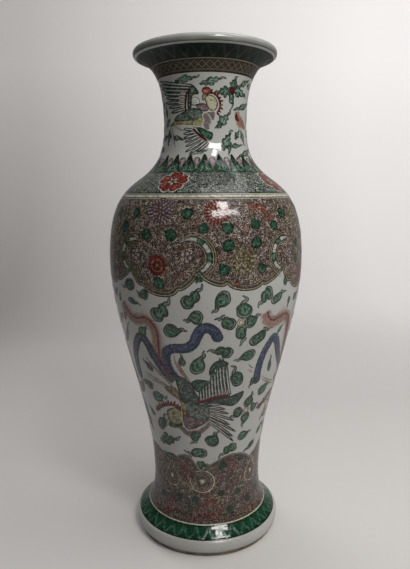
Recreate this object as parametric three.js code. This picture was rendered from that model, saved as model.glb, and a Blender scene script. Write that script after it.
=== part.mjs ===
// Famille verte baluster vase, built as a potter builds it: thrown porcelain sections
// stacked foot to mouth and luted together with slip. Millimetres, +Z up, with the
// origin at the centre of the foot rim's resting face.
import * as THREE from "three";

// Every section is turned on the wheel, so each is a profile swept in this many steps
const SEGMENTS = 48;

// Section heights, from the table upwards
const FOOT_HEIGHT = 36;
const LOWER_BODY_HEIGHT = 124;
const UPPER_BODY_HEIGHT = 136;
const SHOULDER_HEIGHT = 56;
const NECK_HEIGHT = 74;
const MOUTH_HEIGHT = 24;

// Outer radii
const FOOT_RADIUS = 70.6;
const WAIST_RADIUS = 52.1;
const BELLY_RADIUS = 89.6;
const NECK_RADIUS = 37.5;
const RIM_RADIUS = 64.1;

// Where the outline is narrowest or widest, as heights within the sections
const WAIST_ABOVE_FOOT_SEAM = 19.5;
const BELLY_BELOW_SHOULDER_SEAM = 30.5;
const NECK_MIDDLE_ABOVE_NECK_SEAM = 35.3;

// How far each stretch of the outline keeps its first direction before it turns
const FOOT_SPREAD = 8.5;
const FOOT_TUCK = 29.3;
const LOWER_BODY_FULLNESS = 69.8;
const UPPER_BODY_FULLNESS = 61.5;
const SHOULDER_FULLNESS = 95.4;
const NECK_TUCK = 69.2;
const MOUTH_TUCK = 41;
const MOUTH_SPREAD = 10.7;
const MOUTH_RISE = 3.7;

// Walls
const BODY_WALL = 5.5;
const NECK_WALL = 5;
const FLOOR_THICKNESS = 7;

// The rolled lip is an arc that starts under the flare and ends inside the mouth
const LIP_RADIUS = 3.85;
const LIP_FROM_DEGREES = -100;
const LIP_TO_DEGREES = 128;
const LIP_CLEARANCE = 2;

// Foot rim
const FOOT_BEAD_TOP = 16;
const FOOT_BEAD_INSET = 2.7;
const FOOT_BEAD_BOTTOM = 4.2;
const FOOT_RIM_WIDTH = 9;
const FOOT_RIM_TAPER = 1.8;
const FOOT_RIM_CHAMFER = 1;
const RECESS_DEPTH = 12;
const LEDGE_WIDTH = 6;

// Slip in the seams: its thickness, the slope of the scored edges and the wiped bead inside
const SLIP = 1.2;
const SEAM_BEVEL = 1.5;
const BEAD = 0.8;

// Steps along each curve, and the least height between two points of a profile
const FOOT_STEPS = 6;
const FOOT_BEAD_STEPS = 4;
const BODY_STEPS = 9;
const SHOULDER_STEPS = 8;
const NECK_STEPS = 8;
const MOUTH_STEPS = 7;
const LIP_STEPS = 6;
const LEAST_STEPS = 2;
const LEAST_RISE = 1;
const HALVINGS = 50;

const FOOT_SEAM = FOOT_HEIGHT;
const BELLY_SEAM = FOOT_SEAM + LOWER_BODY_HEIGHT;
const SHOULDER_SEAM = BELLY_SEAM + UPPER_BODY_HEIGHT;
const NECK_SEAM = SHOULDER_SEAM + SHOULDER_HEIGHT;
const MOUTH_SEAM = NECK_SEAM + NECK_HEIGHT;
const RIM_TOP = MOUTH_SEAM + MOUTH_HEIGHT;
const WAIST = FOOT_SEAM + WAIST_ABOVE_FOOT_SEAM;
const BELLY = SHOULDER_SEAM - BELLY_BELOW_SHOULDER_SEAM;
const NECK_MIDDLE = NECK_SEAM + NECK_MIDDLE_ABOVE_NECK_SEAM;
const FOOT_BEAD_RADIUS = FOOT_RADIUS - FOOT_BEAD_INSET;

const point = (radius, height) => new THREE.Vector2(radius, height);

function curve(from, fromHandle, toHandle, to) {
  return new THREE.CubicBezierCurve(from, fromHandle, toHandle, to);
}

// Points of an ellipse's arc, from one angle to another
function arc(centre, halfWidth, halfHeight, fromDegrees, toDegrees, steps) {
  const points = [];
  for (let i = 0; i <= steps; i += 1) {
    const angle = THREE.MathUtils.degToRad(fromDegrees + ((toDegrees - fromDegrees) * i) / steps);
    points.push(point(centre.x + halfWidth * Math.cos(angle), centre.y + halfHeight * Math.sin(angle)));
  }
  return points;
}

const LIP_CENTRE = point(RIM_RADIUS - LIP_RADIUS, RIM_TOP - LIP_RADIUS);
const LIP = arc(LIP_CENTRE, LIP_RADIUS, LIP_RADIUS, LIP_FROM_DEGREES, LIP_TO_DEGREES, LIP_STEPS);
const [LIP_START] = LIP;
const LIP_END = LIP.at(-1);

// The outline of the whole vase, as four curves that meet where it is upright
const footCurve = curve(
  point(FOOT_BEAD_RADIUS, FOOT_BEAD_TOP),
  point(FOOT_BEAD_RADIUS - FOOT_SPREAD, FOOT_BEAD_TOP + FOOT_SPREAD),
  point(WAIST_RADIUS, WAIST - FOOT_TUCK),
  point(WAIST_RADIUS, WAIST),
);
const bodyCurve = curve(
  point(WAIST_RADIUS, WAIST),
  point(WAIST_RADIUS, WAIST + LOWER_BODY_FULLNESS),
  point(BELLY_RADIUS, BELLY - UPPER_BODY_FULLNESS),
  point(BELLY_RADIUS, BELLY),
);
const shoulderCurve = curve(
  point(BELLY_RADIUS, BELLY),
  point(BELLY_RADIUS, BELLY + SHOULDER_FULLNESS),
  point(NECK_RADIUS, NECK_MIDDLE - NECK_TUCK),
  point(NECK_RADIUS, NECK_MIDDLE),
);
const mouthCurve = curve(
  point(NECK_RADIUS, NECK_MIDDLE),
  point(NECK_RADIUS, NECK_MIDDLE + MOUTH_TUCK),
  point(LIP_START.x - MOUTH_SPREAD, LIP_START.y - MOUTH_RISE),
  LIP_START,
);
const OUTLINE = [footCurve, bodyCurve, shoulderCurve, mouthCurve];

// The parameter at which a rising height reaches a given one, found by halving
function parameterWhere(heightAt, height) {
  let low = 0;
  let high = 1;
  for (let i = 0; i < HALVINGS; i += 1) {
    const middle = (low + high) / 2;
    if (heightAt(middle) < height) low = middle;
    else high = middle;
  }
  return (low + high) / 2;
}

const parameterAt = (part, height) => parameterWhere((t) => part.getPoint(t).y, height);

const curveAt = (height) => OUTLINE.find((part) => part.getPoint(1).y >= height);

function outerRadius(height) {
  const part = curveAt(height);
  return part.getPoint(parameterAt(part, height)).x;
}

// The wall thins from the body's to the neck's across the shoulder
function wallAt(height) {
  const share = THREE.MathUtils.smoothstep(height, BELLY, NECK_MIDDLE);
  return BODY_WALL + (NECK_WALL - BODY_WALL) * share;
}

// A point of the inner wall: one on the outline, moved square to it by the wall
function insideOf(part, t) {
  const along = part.getTangent(t);
  const at = part.getPoint(t);
  const wall = wallAt(at.y);
  return point(at.x - wall * along.y, at.y + wall * along.x);
}

function innerRadius(height) {
  const part = curveAt(height);
  return insideOf(part, parameterWhere((t) => insideOf(part, t).y, height)).x;
}

// Outer and inner points of the wall between two heights, both from the bottom upwards
function wallBetween(bottom, top, steps) {
  const outer = [];
  const inner = [];
  for (const part of OUTLINE) {
    const low = Math.max(bottom, part.getPoint(0).y);
    const high = Math.min(top, part.getPoint(1).y);
    if (high - low < LEAST_RISE) continue;
    const from = parameterAt(part, low);
    const to = parameterAt(part, high);
    const count = Math.max(LEAST_STEPS, Math.round((steps * (high - low)) / (top - bottom)));
    for (let i = outer.length ? 1 : 0; i <= count; i += 1) {
      const t = from + ((to - from) * i) / count;
      outer.push(part.getPoint(t));
      inner.push(insideOf(part, t));
    }
  }
  return { outer, inner };
}

// A seam's four corners: the scored edges slope down towards the inside of the vase
function seamCorners(height) {
  return {
    outerLow: point(outerRadius(height), height),
    innerLow: point(innerRadius(height - SEAM_BEVEL), height - SEAM_BEVEL),
    outerHigh: point(outerRadius(height + SLIP), height + SLIP),
    innerHigh: point(innerRadius(height + SLIP - SEAM_BEVEL), height + SLIP - SEAM_BEVEL),
  };
}

function turned(name, profile, material) {
  const closed = [...profile, profile[0].clone()];
  const geometry = new THREE.LatheGeometry(closed, SEGMENTS);
  geometry.rotateX(Math.PI / 2);
  const mesh = new THREE.Mesh(geometry, material);
  mesh.name = name;
  return mesh;
}

const glazed = () =>
  new THREE.MeshStandardMaterial({ color: 0xdfe0d8, roughness: 0.12, metalness: 0 });

const unglazed = () =>
  new THREE.MeshStandardMaterial({ color: 0xc9c2b4, roughness: 0.8, metalness: 0 });

// A section of wall between two seams
function section(name, bottom, top, steps) {
  const low = seamCorners(bottom);
  const high = seamCorners(top);
  const wall = wallBetween(bottom + SLIP, top, steps);
  const outer = [low.outerHigh, ...wall.outer.slice(1, -1), high.outerLow];
  const clear = (p) => p.y > low.innerHigh.y + LEAST_RISE && p.y < high.innerLow.y - LEAST_RISE;
  const inner = [low.innerHigh, ...wall.inner.slice(1, -1).filter(clear), high.innerLow];
  return turned(name, [...outer, ...inner.reverse()], glazed());
}

// The slip between two sections, with the bead that squeezes out inside and is wiped round
function slipRing(name, height) {
  const { outerLow, innerLow, outerHigh, innerHigh } = seamCorners(height);
  const middle = point((innerLow.x + innerHigh.x) / 2 - BEAD, (innerLow.y + innerHigh.y) / 2);
  return turned(name, [outerLow, outerHigh, innerHigh, middle, innerLow], unglazed());
}

// The mouth: the neck's flare carried out to a thick rounded lip
function mouth() {
  const low = seamCorners(MOUTH_SEAM);
  const wall = wallBetween(MOUTH_SEAM + SLIP, LIP_START.y, MOUTH_STEPS);
  const clear = (p) => p.y < LIP_END.y - LEAST_RISE && p.x < LIP_END.x - LIP_CLEARANCE;
  const inner = wall.inner.slice(1).filter(clear).reverse();
  const outer = [low.outerHigh, ...wall.outer.slice(1, -1)];
  return turned("mouth", [...outer, ...LIP, ...inner, low.innerHigh], glazed());
}

// The ledge inside the foot, on which the floor is luted
const floorSeat = {
  radius: innerRadius(FOOT_SEAM - SEAM_BEVEL) - LEDGE_WIDTH,
  bottom: RECESS_DEPTH,
  top: RECESS_DEPTH + FLOOR_THICKNESS,
};

// The spreading foot: a glazed bead outside, a plain rim to stand on and the ledge inside
function foot() {
  const rimOuter = FOOT_BEAD_RADIUS - FOOT_RIM_CHAMFER;
  const rimInner = rimOuter - FOOT_RIM_WIDTH;
  const beadHalf = (FOOT_BEAD_TOP - FOOT_BEAD_BOTTOM) / 2;
  const beadMiddle = point(FOOT_BEAD_RADIUS, FOOT_BEAD_BOTTOM + beadHalf);
  const bead = arc(beadMiddle, FOOT_BEAD_INSET, beadHalf, -90, 90, FOOT_BEAD_STEPS);
  const wall = wallBetween(FOOT_BEAD_TOP, FOOT_SEAM, FOOT_STEPS);
  const seam = seamCorners(FOOT_SEAM);
  const outside = [point(rimOuter, 0), ...bead, ...wall.outer.slice(1, -1), seam.outerLow];
  const inside = [
    seam.innerLow,
    point(floorSeat.radius, floorSeat.top + SEAM_BEVEL),
    point(floorSeat.radius, floorSeat.bottom),
    point(rimInner - FOOT_RIM_TAPER, floorSeat.bottom),
    point(rimInner, 0),
  ];
  return turned("foot", [...outside, ...inside], glazed());
}

// The floor disc drops onto the slip inside the foot
function floorDisc() {
  const { radius, bottom, top } = floorSeat;
  const edge = radius - SLIP;
  const profile = [point(0, bottom), point(edge, bottom), point(edge, top), point(0, top)];
  return turned("base_floor", profile, glazed());
}

function floorSlip() {
  const { radius, bottom, top } = floorSeat;
  const edge = radius - SLIP;
  const lipped = point(radius, top + SEAM_BEVEL);
  const profile = [point(edge, bottom), point(radius, bottom), lipped, point(edge, top)];
  return turned("floor_slip", profile, unglazed());
}

const vase = new THREE.Group();
vase.add(
  foot(),
  floorSlip(),
  floorDisc(),
  slipRing("foot_slip", FOOT_SEAM),
  section("lower_body", FOOT_SEAM, BELLY_SEAM, BODY_STEPS),
  slipRing("belly_slip", BELLY_SEAM),
  section("upper_body", BELLY_SEAM, SHOULDER_SEAM, BODY_STEPS),
  slipRing("shoulder_slip", SHOULDER_SEAM),
  section("shoulder", SHOULDER_SEAM, NECK_SEAM, SHOULDER_STEPS),
  slipRing("neck_slip", NECK_SEAM),
  section("neck", NECK_SEAM, MOUTH_SEAM, NECK_STEPS),
  slipRing("mouth_slip", MOUTH_SEAM),
  mouth(),
);

export default vase;
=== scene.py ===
# Looks of a famille verte baluster vase. Metres, +Z up, photographed from the -Y side.
# The vase is drawn in two surface coordinates: the turn round the axis, in radians from the
# photographed side, and the rise, in millimetres along the outline from the foot's bead.
import math
from collections import defaultdict
from functools import partial

import bpy
import numpy as np
from mathutils import Matrix, Vector
from mathutils.geometry import delaunay_2d_cdt


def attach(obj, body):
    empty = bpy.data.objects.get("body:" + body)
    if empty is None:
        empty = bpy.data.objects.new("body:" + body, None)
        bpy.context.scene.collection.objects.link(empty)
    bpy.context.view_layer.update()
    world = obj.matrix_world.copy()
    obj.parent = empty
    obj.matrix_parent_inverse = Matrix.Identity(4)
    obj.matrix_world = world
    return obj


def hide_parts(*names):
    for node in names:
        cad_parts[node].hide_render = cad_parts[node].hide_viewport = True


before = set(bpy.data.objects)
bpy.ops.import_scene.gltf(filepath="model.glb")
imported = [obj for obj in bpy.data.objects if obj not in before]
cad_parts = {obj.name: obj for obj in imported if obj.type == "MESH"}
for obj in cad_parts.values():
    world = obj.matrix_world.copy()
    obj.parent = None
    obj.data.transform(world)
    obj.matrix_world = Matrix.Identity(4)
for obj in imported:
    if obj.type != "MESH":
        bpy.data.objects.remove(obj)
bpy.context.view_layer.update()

MM = 0.001
TURN = 2 * math.pi
QUARTER = TURN / 4
QUARTERS = np.arange(4) * QUARTER
ROUND = 320
rng = np.random.default_rng(1700)

# The outline, with the same sizes in millimetres as the construction
RIM_TOP, RIM_RADIUS, LIP_RADIUS = 450.0, 64.1, 3.85
LIP_FROM, LIP_TO = math.radians(-100), math.radians(128)
BEAD_TOP, BEAD_BOTTOM, BEAD_INSET = 16.0, 4.2, 2.7
FOOT_RADIUS, WAIST_RADIUS, BELLY_RADIUS, NECK_RADIUS = 70.6, 52.1, 89.6, 37.5
WAIST, BELLY, NECK_MIDDLE = 55.5, 265.5, 387.3
FOOT_SPREAD, FOOT_TUCK = 8.5, 29.3
LOWER_BODY_FULLNESS, UPPER_BODY_FULLNESS = 69.8, 61.5
SHOULDER_FULLNESS, NECK_TUCK = 95.4, 69.2
MOUTH_TUCK, MOUTH_SPREAD, MOUTH_RISE = 41.0, 10.7, 3.7
BODY_WALL, NECK_WALL, SEAM_BEVEL, SLIP, SLIP_BEAD = 5.5, 5.0, 1.5, 1.2, 0.8
RIM_WIDTH, RIM_TAPER, RIM_CHAMFER, RIM_SOFT = 9.0, 1.8, 1.0, 0.4
RECESS, FLOOR, LEDGE = 12.0, 7.0, 6.0
FOOT_SEAM, BELLY_SEAM, SHOULDER_SEAM, NECK_SEAM, MOUTH_SEAM = 36.0, 160.0, 296.0, 352.0, 426.0

# The porcelain stands back from the outline by the thickness of the enamels on it, and the glaze
# covers the slip in a seam by SLIP_COVER
ENAMEL, SLIP_COVER = 0.25, 0.8
SKIN_STEP, INNER_STEP, BEAD_STEPS, LIP_STEPS = 0.8, 2.0, 20, 24

# How far in from its edge an enamel is fully pooled
POOL_REACH = 1.6

# Heights of the painted rings
MOUTH_GREEN_TOP, MOUTH_CREAM, MOUTH_BROWN_FOOT = 443.6, 434.0, 424.6
LIP_SHADE_TOP = 449.3
LAPPET_TIP, LAPPET_FOOT, SHOULDER_FOOT = 358.6, 343.9, 326.4
SHOULDER_CREAM, MILLEFLEUR_TOP = 323.9, 321.8
FOOT_CREAM = 25.6

# The photograph's camera: its frame and focal length in pixels, its place in millimetres
FRAME_WIDTH, FRAME_HEIGHT, FOCAL_PIXELS = 410, 569, 540.8
CAMERA_ASIDE, CAMERA_AWAY, CAMERA_HIGH = -10.7, 509.1, 328.9
CAMERA_PITCH, CAMERA_ROLL, CAMERA_YAW = 0.1734, -0.0046, -0.0194
CAMERA_TURN = (Matrix.Rotation(CAMERA_YAW, 3, "Z")
               @ Matrix.Rotation(math.pi / 2 - CAMERA_PITCH, 3, "X")
               @ Matrix.Rotation(CAMERA_ROLL, 3, "Z"))


# Outline

def bezier(a, b, c, d):
    a, b, c, d = (np.array(p, float) for p in (a, b, c, d))
    count = max(4, round(float(np.linalg.norm(d - a)) / SKIN_STEP))
    t = np.linspace(0, 1, count + 1)[:, None]
    return (1 - t) ** 3 * a + 3 * (1 - t) ** 2 * t * b + 3 * (1 - t) * t ** 2 * c + t ** 3 * d


def ellipse_arc(centre, wide, high, start, end, count):
    angle = np.linspace(start, end, count + 1)
    return np.stack([centre[0] + wide * np.cos(angle), centre[1] + high * np.sin(angle)], 1)


def oval(wide, high, count=12):
    """The points of an oval, or a circle, round the origin."""
    return ellipse_arc((0, 0), wide, high, 0, TURN, count)[:-1]


def pointing(angle):
    """The unit vector at an angle, and the one to its left."""
    way = np.array([math.cos(angle), math.sin(angle)])
    return way, np.array([-way[1], way[0]])


def outer_outline():
    bead_radius = FOOT_RADIUS - BEAD_INSET
    half = (BEAD_TOP - BEAD_BOTTOM) / 2
    bead_centre = (bead_radius, BEAD_BOTTOM + half)
    bead = ellipse_arc(bead_centre, BEAD_INSET, half, -math.pi / 2, math.pi / 2, BEAD_STEPS)
    lip_centre = (RIM_RADIUS - LIP_RADIUS, RIM_TOP - LIP_RADIUS)
    lip = ellipse_arc(lip_centre, LIP_RADIUS, LIP_RADIUS, LIP_FROM, LIP_TO, LIP_STEPS)
    start = lip[0]
    curves = [
        bezier((bead_radius, BEAD_TOP), (bead_radius - FOOT_SPREAD, BEAD_TOP + FOOT_SPREAD),
               (WAIST_RADIUS, WAIST - FOOT_TUCK), (WAIST_RADIUS, WAIST)),
        bezier((WAIST_RADIUS, WAIST), (WAIST_RADIUS, WAIST + LOWER_BODY_FULLNESS),
               (BELLY_RADIUS, BELLY - UPPER_BODY_FULLNESS), (BELLY_RADIUS, BELLY)),
        bezier((BELLY_RADIUS, BELLY), (BELLY_RADIUS, BELLY + SHOULDER_FULLNESS),
               (NECK_RADIUS, NECK_MIDDLE - NECK_TUCK), (NECK_RADIUS, NECK_MIDDLE)),
        bezier((NECK_RADIUS, NECK_MIDDLE), (NECK_RADIUS, NECK_MIDDLE + MOUTH_TUCK),
               (start[0] - MOUTH_SPREAD, start[1] - MOUTH_RISE), start),
    ]
    outline = np.vstack([bead] + [c[1:] for c in curves] + [lip[1:]])
    outline[:, 0] -= ENAMEL
    return outline


SKIN = outer_outline()
SKIN_RISE = np.concatenate([[0], np.cumsum(np.linalg.norm(np.diff(SKIN, axis=0), axis=1))])
SKIN_NORMAL = np.gradient(SKIN, SKIN_RISE, axis=0)[:, ::-1] * (1, -1)
SKIN_NORMAL /= np.linalg.norm(SKIN_NORMAL, axis=1)[:, None]
LIP_TOP_ROW = int(np.argmax(SKIN[:, 1]))


def radius_at(rise):
    return np.interp(rise, SKIN_RISE, SKIN[:, 0])


def height_at(rise):
    return np.interp(rise, SKIN_RISE, SKIN[:, 1])


def rise_at(height):
    return np.interp(height, SKIN[: LIP_TOP_ROW + 1, 1], SKIN_RISE[: LIP_TOP_ROW + 1])


def level_at(edge, turn):
    """The rise of an edge, which is a number or a function of the turn."""
    return edge(turn) if callable(edge) else edge


def on_skin(turn, rise, proud):
    """Points in metres, that many millimetres proud of the porcelain."""
    radius = radius_at(rise) + proud * np.interp(rise, SKIN_RISE, SKIN_NORMAL[:, 0])
    height = height_at(rise) + proud * np.interp(rise, SKIN_RISE, SKIN_NORMAL[:, 1])
    return np.stack([radius * np.sin(turn), -radius * np.cos(turn), height], -1) * MM


def seen(pixels):
    """The turn and the rise of what shows at these pixels of the photograph."""
    pixels = np.atleast_2d(np.asarray(pixels, float))
    across = (pixels[:, 0] - FRAME_WIDTH / 2) / FOCAL_PIXELS
    up = (FRAME_HEIGHT / 2 - pixels[:, 1]) / FOCAL_PIXELS
    ray = np.stack([across, up, -np.ones(len(pixels))], 1) @ np.array(CAMERA_TURN).T
    steps = np.arange(CAMERA_AWAY - 1.4 * BELLY_RADIUS, CAMERA_AWAY + BELLY_RADIUS, 0.5)
    points = np.array((CAMERA_ASIDE, -CAMERA_AWAY, CAMERA_HIGH)) + ray[:, None, :] * steps[:, None]
    skin = np.interp(points[..., 2], SKIN[: LIP_TOP_ROW + 1, 1], SKIN[: LIP_TOP_ROW + 1, 0])
    gap = np.hypot(points[..., 0], points[..., 1]) - skin
    first = np.where((gap < 0).any(1), (gap < 0).argmax(1), np.abs(gap).argmin(1))
    hit = points[np.arange(len(first)), first]
    return np.stack([np.arctan2(hit[:, 0], -hit[:, 1]), rise_at(hit[:, 2])], 1)


# Meshes

def finish_piece(name, mesh, materials, replaced=()):
    piece = bpy.data.objects.new(name, mesh)
    bpy.context.scene.collection.objects.link(piece)
    for material in materials:
        mesh.materials.append(material)
    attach(piece, "root")
    if replaced:
        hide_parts(*replaced)
    return piece


def mesh_from(name, points, faces, corner_uv, attributes=None):
    """A smooth mesh with a place on its UV map for every corner."""
    faces = np.asarray(faces, np.int32)
    count, width = faces.shape
    mesh = bpy.data.meshes.new(name)
    mesh.vertices.add(len(points))
    mesh.vertices.foreach_set("co", np.asarray(points, np.float32).ravel())
    mesh.loops.add(faces.size)
    mesh.loops.foreach_set("vertex_index", faces.ravel())
    mesh.polygons.add(count)
    mesh.polygons.foreach_set("loop_start", np.arange(0, faces.size, width, dtype=np.int32))
    mesh.polygons.foreach_set("loop_total", np.full(count, width, np.int32))
    mesh.polygons.foreach_set("use_smooth", np.ones(count, bool))
    layer = mesh.uv_layers.new(name="OFBake")
    layer.uv.foreach_set("vector", np.asarray(corner_uv, np.float32).ravel())
    for key, values in (attributes or {}).items():
        made = mesh.attributes.new(key, "FLOAT", "POINT")
        made.data.foreach_set("value", np.asarray(values, np.float32).ravel())
    mesh.update(calc_edges=True)
    return mesh


def ring_mesh(name, points, up, closed, attributes=None):
    """Rows of points round the axis. up holds each row's place on the UV map, and one more if closed."""
    rows, columns = points.shape[:2]
    row = np.arange(rows if closed else rows - 1)[:, None]
    column = np.arange(columns)[None, :]
    right = (column + 1) % columns
    above = (row + 1) % rows
    faces = np.stack([row * columns + column, row * columns + right,
                      above * columns + right, above * columns + column], -1).reshape(-1, 4)
    u0 = np.broadcast_to(column / columns, (len(row), columns))
    u1 = u0 + 1 / columns
    v0 = np.broadcast_to(up[row], u0.shape)
    v1 = np.broadcast_to(up[row + 1], u0.shape)
    uv = np.stack([u0, v0, u1, v0, u1, v1, u0, v1], -1)
    return mesh_from(name, points.reshape(-1, 3), faces, uv, attributes)


def turned(name, profile, sharp_rows=()):
    """A closed profile of (radius, height) in millimetres, turned round the axis."""
    profile = np.asarray(profile, float)
    steps = np.linalg.norm(np.diff(np.vstack([profile, profile[:1]]), axis=0), axis=1)
    up = np.concatenate([[0], np.cumsum(steps)]) / steps.sum()
    turn = np.linspace(0, TURN, ROUND, endpoint=False) - math.pi
    radius, height = profile[:, :1], profile[:, 1:]
    points = np.stack([radius * np.sin(turn), -radius * np.cos(turn),
                       np.repeat(height, ROUND, 1)], -1) * MM
    mesh = ring_mesh(name, points, up, True)
    mark_sharp(mesh, [r % len(profile) for r in sharp_rows])
    return mesh


def mark_sharp(mesh, rows):
    ends = np.empty(len(mesh.edges) * 2, np.int32)
    mesh.edges.foreach_get("vertices", ends)
    first, second = (ends.reshape(-1, 2) // ROUND).T
    made = mesh.attributes.new("sharp_edge", "BOOLEAN", "EDGE")
    made.data.foreach_set("value", (first == second) & np.isin(first, rows))


def band(name, low, high, material, proud=0.04, columns=ROUND, step=2.2, tones=(0.5, 0.5)):
    """A ring of enamel between two edges. Its own edges slope down into the porcelain."""
    turn = np.linspace(-math.pi, math.pi, columns, endpoint=False)
    foot = np.full(columns, level_at(low, turn))
    top = np.full(columns, level_at(high, turn))
    slope, sunk = 0.15, 0.01
    rows = max(3, round(float((top - foot).max()) / step))
    share = np.linspace(0, 1, rows)[:, None]
    inner = foot + slope + (top - foot - 2 * slope) * share
    rise = np.vstack([foot, inner, top])
    height = np.full(rise.shape, proud)
    height[0] = height[-1] = -sunk
    pool = np.clip(np.minimum(rise - foot, top - rise) / POOL_REACH, 0, 1)
    up = rise.mean(1) / SKIN_RISE[-1]
    mesh = ring_mesh(name, on_skin(turn, rise, height), up, False,
                     {"tone": np.repeat(np.linspace(*tones, len(rise)), columns), "pool": pool})
    return finish_piece(name, mesh, [material])


# Drawing

def smooth(points, closed=False, step=0.8):
    """An even line through the points, in millimetres."""
    points = np.asarray(points, float)
    if closed:
        padded = np.vstack([points[-1:], points, points[:2]])
    else:
        padded = np.vstack([2 * points[0] - points[1], points, 2 * points[-1] - points[-2]])
    t = np.linspace(0, 1, 8, endpoint=False)[:, None]
    curve = [0.5 * (2 * b + (c - a) * t + (2 * a - 5 * b + 4 * c - d) * t ** 2
                    + (3 * b - a - 3 * c + d) * t ** 3)
             for a, b, c, d in zip(padded, padded[1:], padded[2:], padded[3:])]
    curve = np.vstack(curve + [points[:1] if closed else points[-1:]])
    along = np.concatenate([[0], np.cumsum(np.linalg.norm(np.diff(curve, axis=0), axis=1))])
    count = max(3, round(along[-1] / step)) + 1
    even = np.linspace(0, along[-1], count)
    line = np.stack([np.interp(even, along, curve[:, k]) for k in (0, 1)], 1)
    return line[:-1] if closed else line


def across_line(line, closed=False):
    """The unit vector to the left of the line at each of its points."""
    if closed:
        along = np.roll(line, -1, 0) - np.roll(line, 1, 0)
    else:
        along = np.gradient(line, axis=0)
    along /= np.maximum(np.linalg.norm(along, axis=1), 1e-9)[:, None]
    return np.stack([-along[:, 1], along[:, 0]], 1)


def beside(path, distance, step=0.8):
    """The even line that runs that far to the left of an open path."""
    line = smooth(path, step=step)
    return line + across_line(line) * distance


def within(points, outline):
    """Which points lie inside the outline."""
    ahead = np.roll(outline, -1, 0)
    x, y = points[:, :1], points[:, 1:]
    crosses = (outline[:, 1] > y) != (ahead[:, 1] > y)
    rise = np.where(ahead[:, 1] == outline[:, 1], 1e-9, ahead[:, 1] - outline[:, 1])
    where = outline[:, 0] + (y - outline[:, 1]) / rise * (ahead[:, 0] - outline[:, 0])
    return (crosses & (x < where)).sum(1) % 2 == 1


def gap_between(points, others):
    """Each point's distance to the nearest of the others."""
    if len(others) == 0 or len(points) == 0:
        return np.full(len(points), 1e9)
    return np.sqrt(((points[:, None] - others[None]) ** 2).sum(-1)).min(1)


class Drawing:
    """Enamel laid out flat in millimetres: x round the vase and y up it, from the drawing's own middle."""

    def __init__(self):
        self.patches = []

    def fill(self, enamel, outline, base=0.02, thick=0.09, tone=0.5, step=1.0, smoothed=True):
        """A patch of enamel, thin at its edge."""
        edge = smooth(outline, True, step) if smoothed else np.asarray(outline, float)
        low, high = edge.min(0), edge.max(0)
        xs, ys = np.meshgrid(np.arange(low[0], high[0], 1.3 * step), np.arange(low[1], high[1], 1.1 * step))
        xs[::2] += 0.65 * step
        grid = np.stack([xs.ravel(), ys.ravel()], 1)
        grid = grid[within(grid, edge)]
        grid = grid[gap_between(grid, edge) > 0.5 * step]
        corners = [Vector(p) for p in np.vstack([edge, grid])]
        made = delaunay_2d_cdt(corners, [], [list(range(len(edge)))], 1, 1e-4)
        points, faces = np.array(made[0]), np.array(made[2])
        a, b, c = (points[faces[:, k]] for k in range(3))
        area = (b[:, 0] - a[:, 0]) * (c[:, 1] - a[:, 1]) - (b[:, 1] - a[:, 1]) * (c[:, 0] - a[:, 0])
        faces[area < 0] = faces[area < 0][:, ::-1]
        inside = gap_between(points, edge)
        height = base + thick * (1 - np.exp(-inside / 0.45))
        pool = np.clip(inside / POOL_REACH, 0, 1)
        self.patches.append((enamel, points, height, np.full(len(points), tone), pool, faces))

    def stroke(self, enamel, path, width, top=0.15, tone=0.5, closed=False, ends=(0.35, 1, 0.35),
               step=0.8, across=3, smoothed=True, fade=0.0):
        """A brush stroke: a ribbon raised along its middle, whose tone rises by fade to its edges."""
        line = smooth(path, closed, step) if smoothed else np.asarray(path, float)
        count = len(line)
        reach = np.linspace(-1, 1, across)
        swell = np.ones(count) if closed else np.interp(np.linspace(0, 1, count), (0, 0.5, 1), ends)
        offset = across_line(line, closed)[:, None] * (reach[:, None] * width / 2)
        points = (line[:, None] + offset * swell[:, None, None]).reshape(-1, 2)
        height = np.tile(top - min(0.06, top / 2) * reach ** 2, count)
        row = np.arange(count if closed else count - 1)[:, None]
        column = np.arange(across - 1)[None, :]
        ahead = (row + 1) % count
        a, b = row * across + column, ahead * across + column
        faces = np.concatenate([np.stack([a, b, b + 1], -1), np.stack([a, b + 1, a + 1], -1)]).reshape(-1, 3)
        pool = np.tile(1 - np.abs(reach), count)
        self.patches.append((enamel, points, height, tone + fade * np.tile(reach ** 2, count), pool, faces))

    def outlined(self, enamel, outline, ink=0.5, tone=0.5, **more):
        self.fill(enamel, outline, tone=tone, **more)
        base = more.get("base", 0.02)
        self.stroke("ink", outline, ink, top=base + 0.1, closed=True)


# All that is laid so far: the patches of each enamel, and the places that later motifs keep clear of
laid = defaultdict(list)
taken = []


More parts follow.
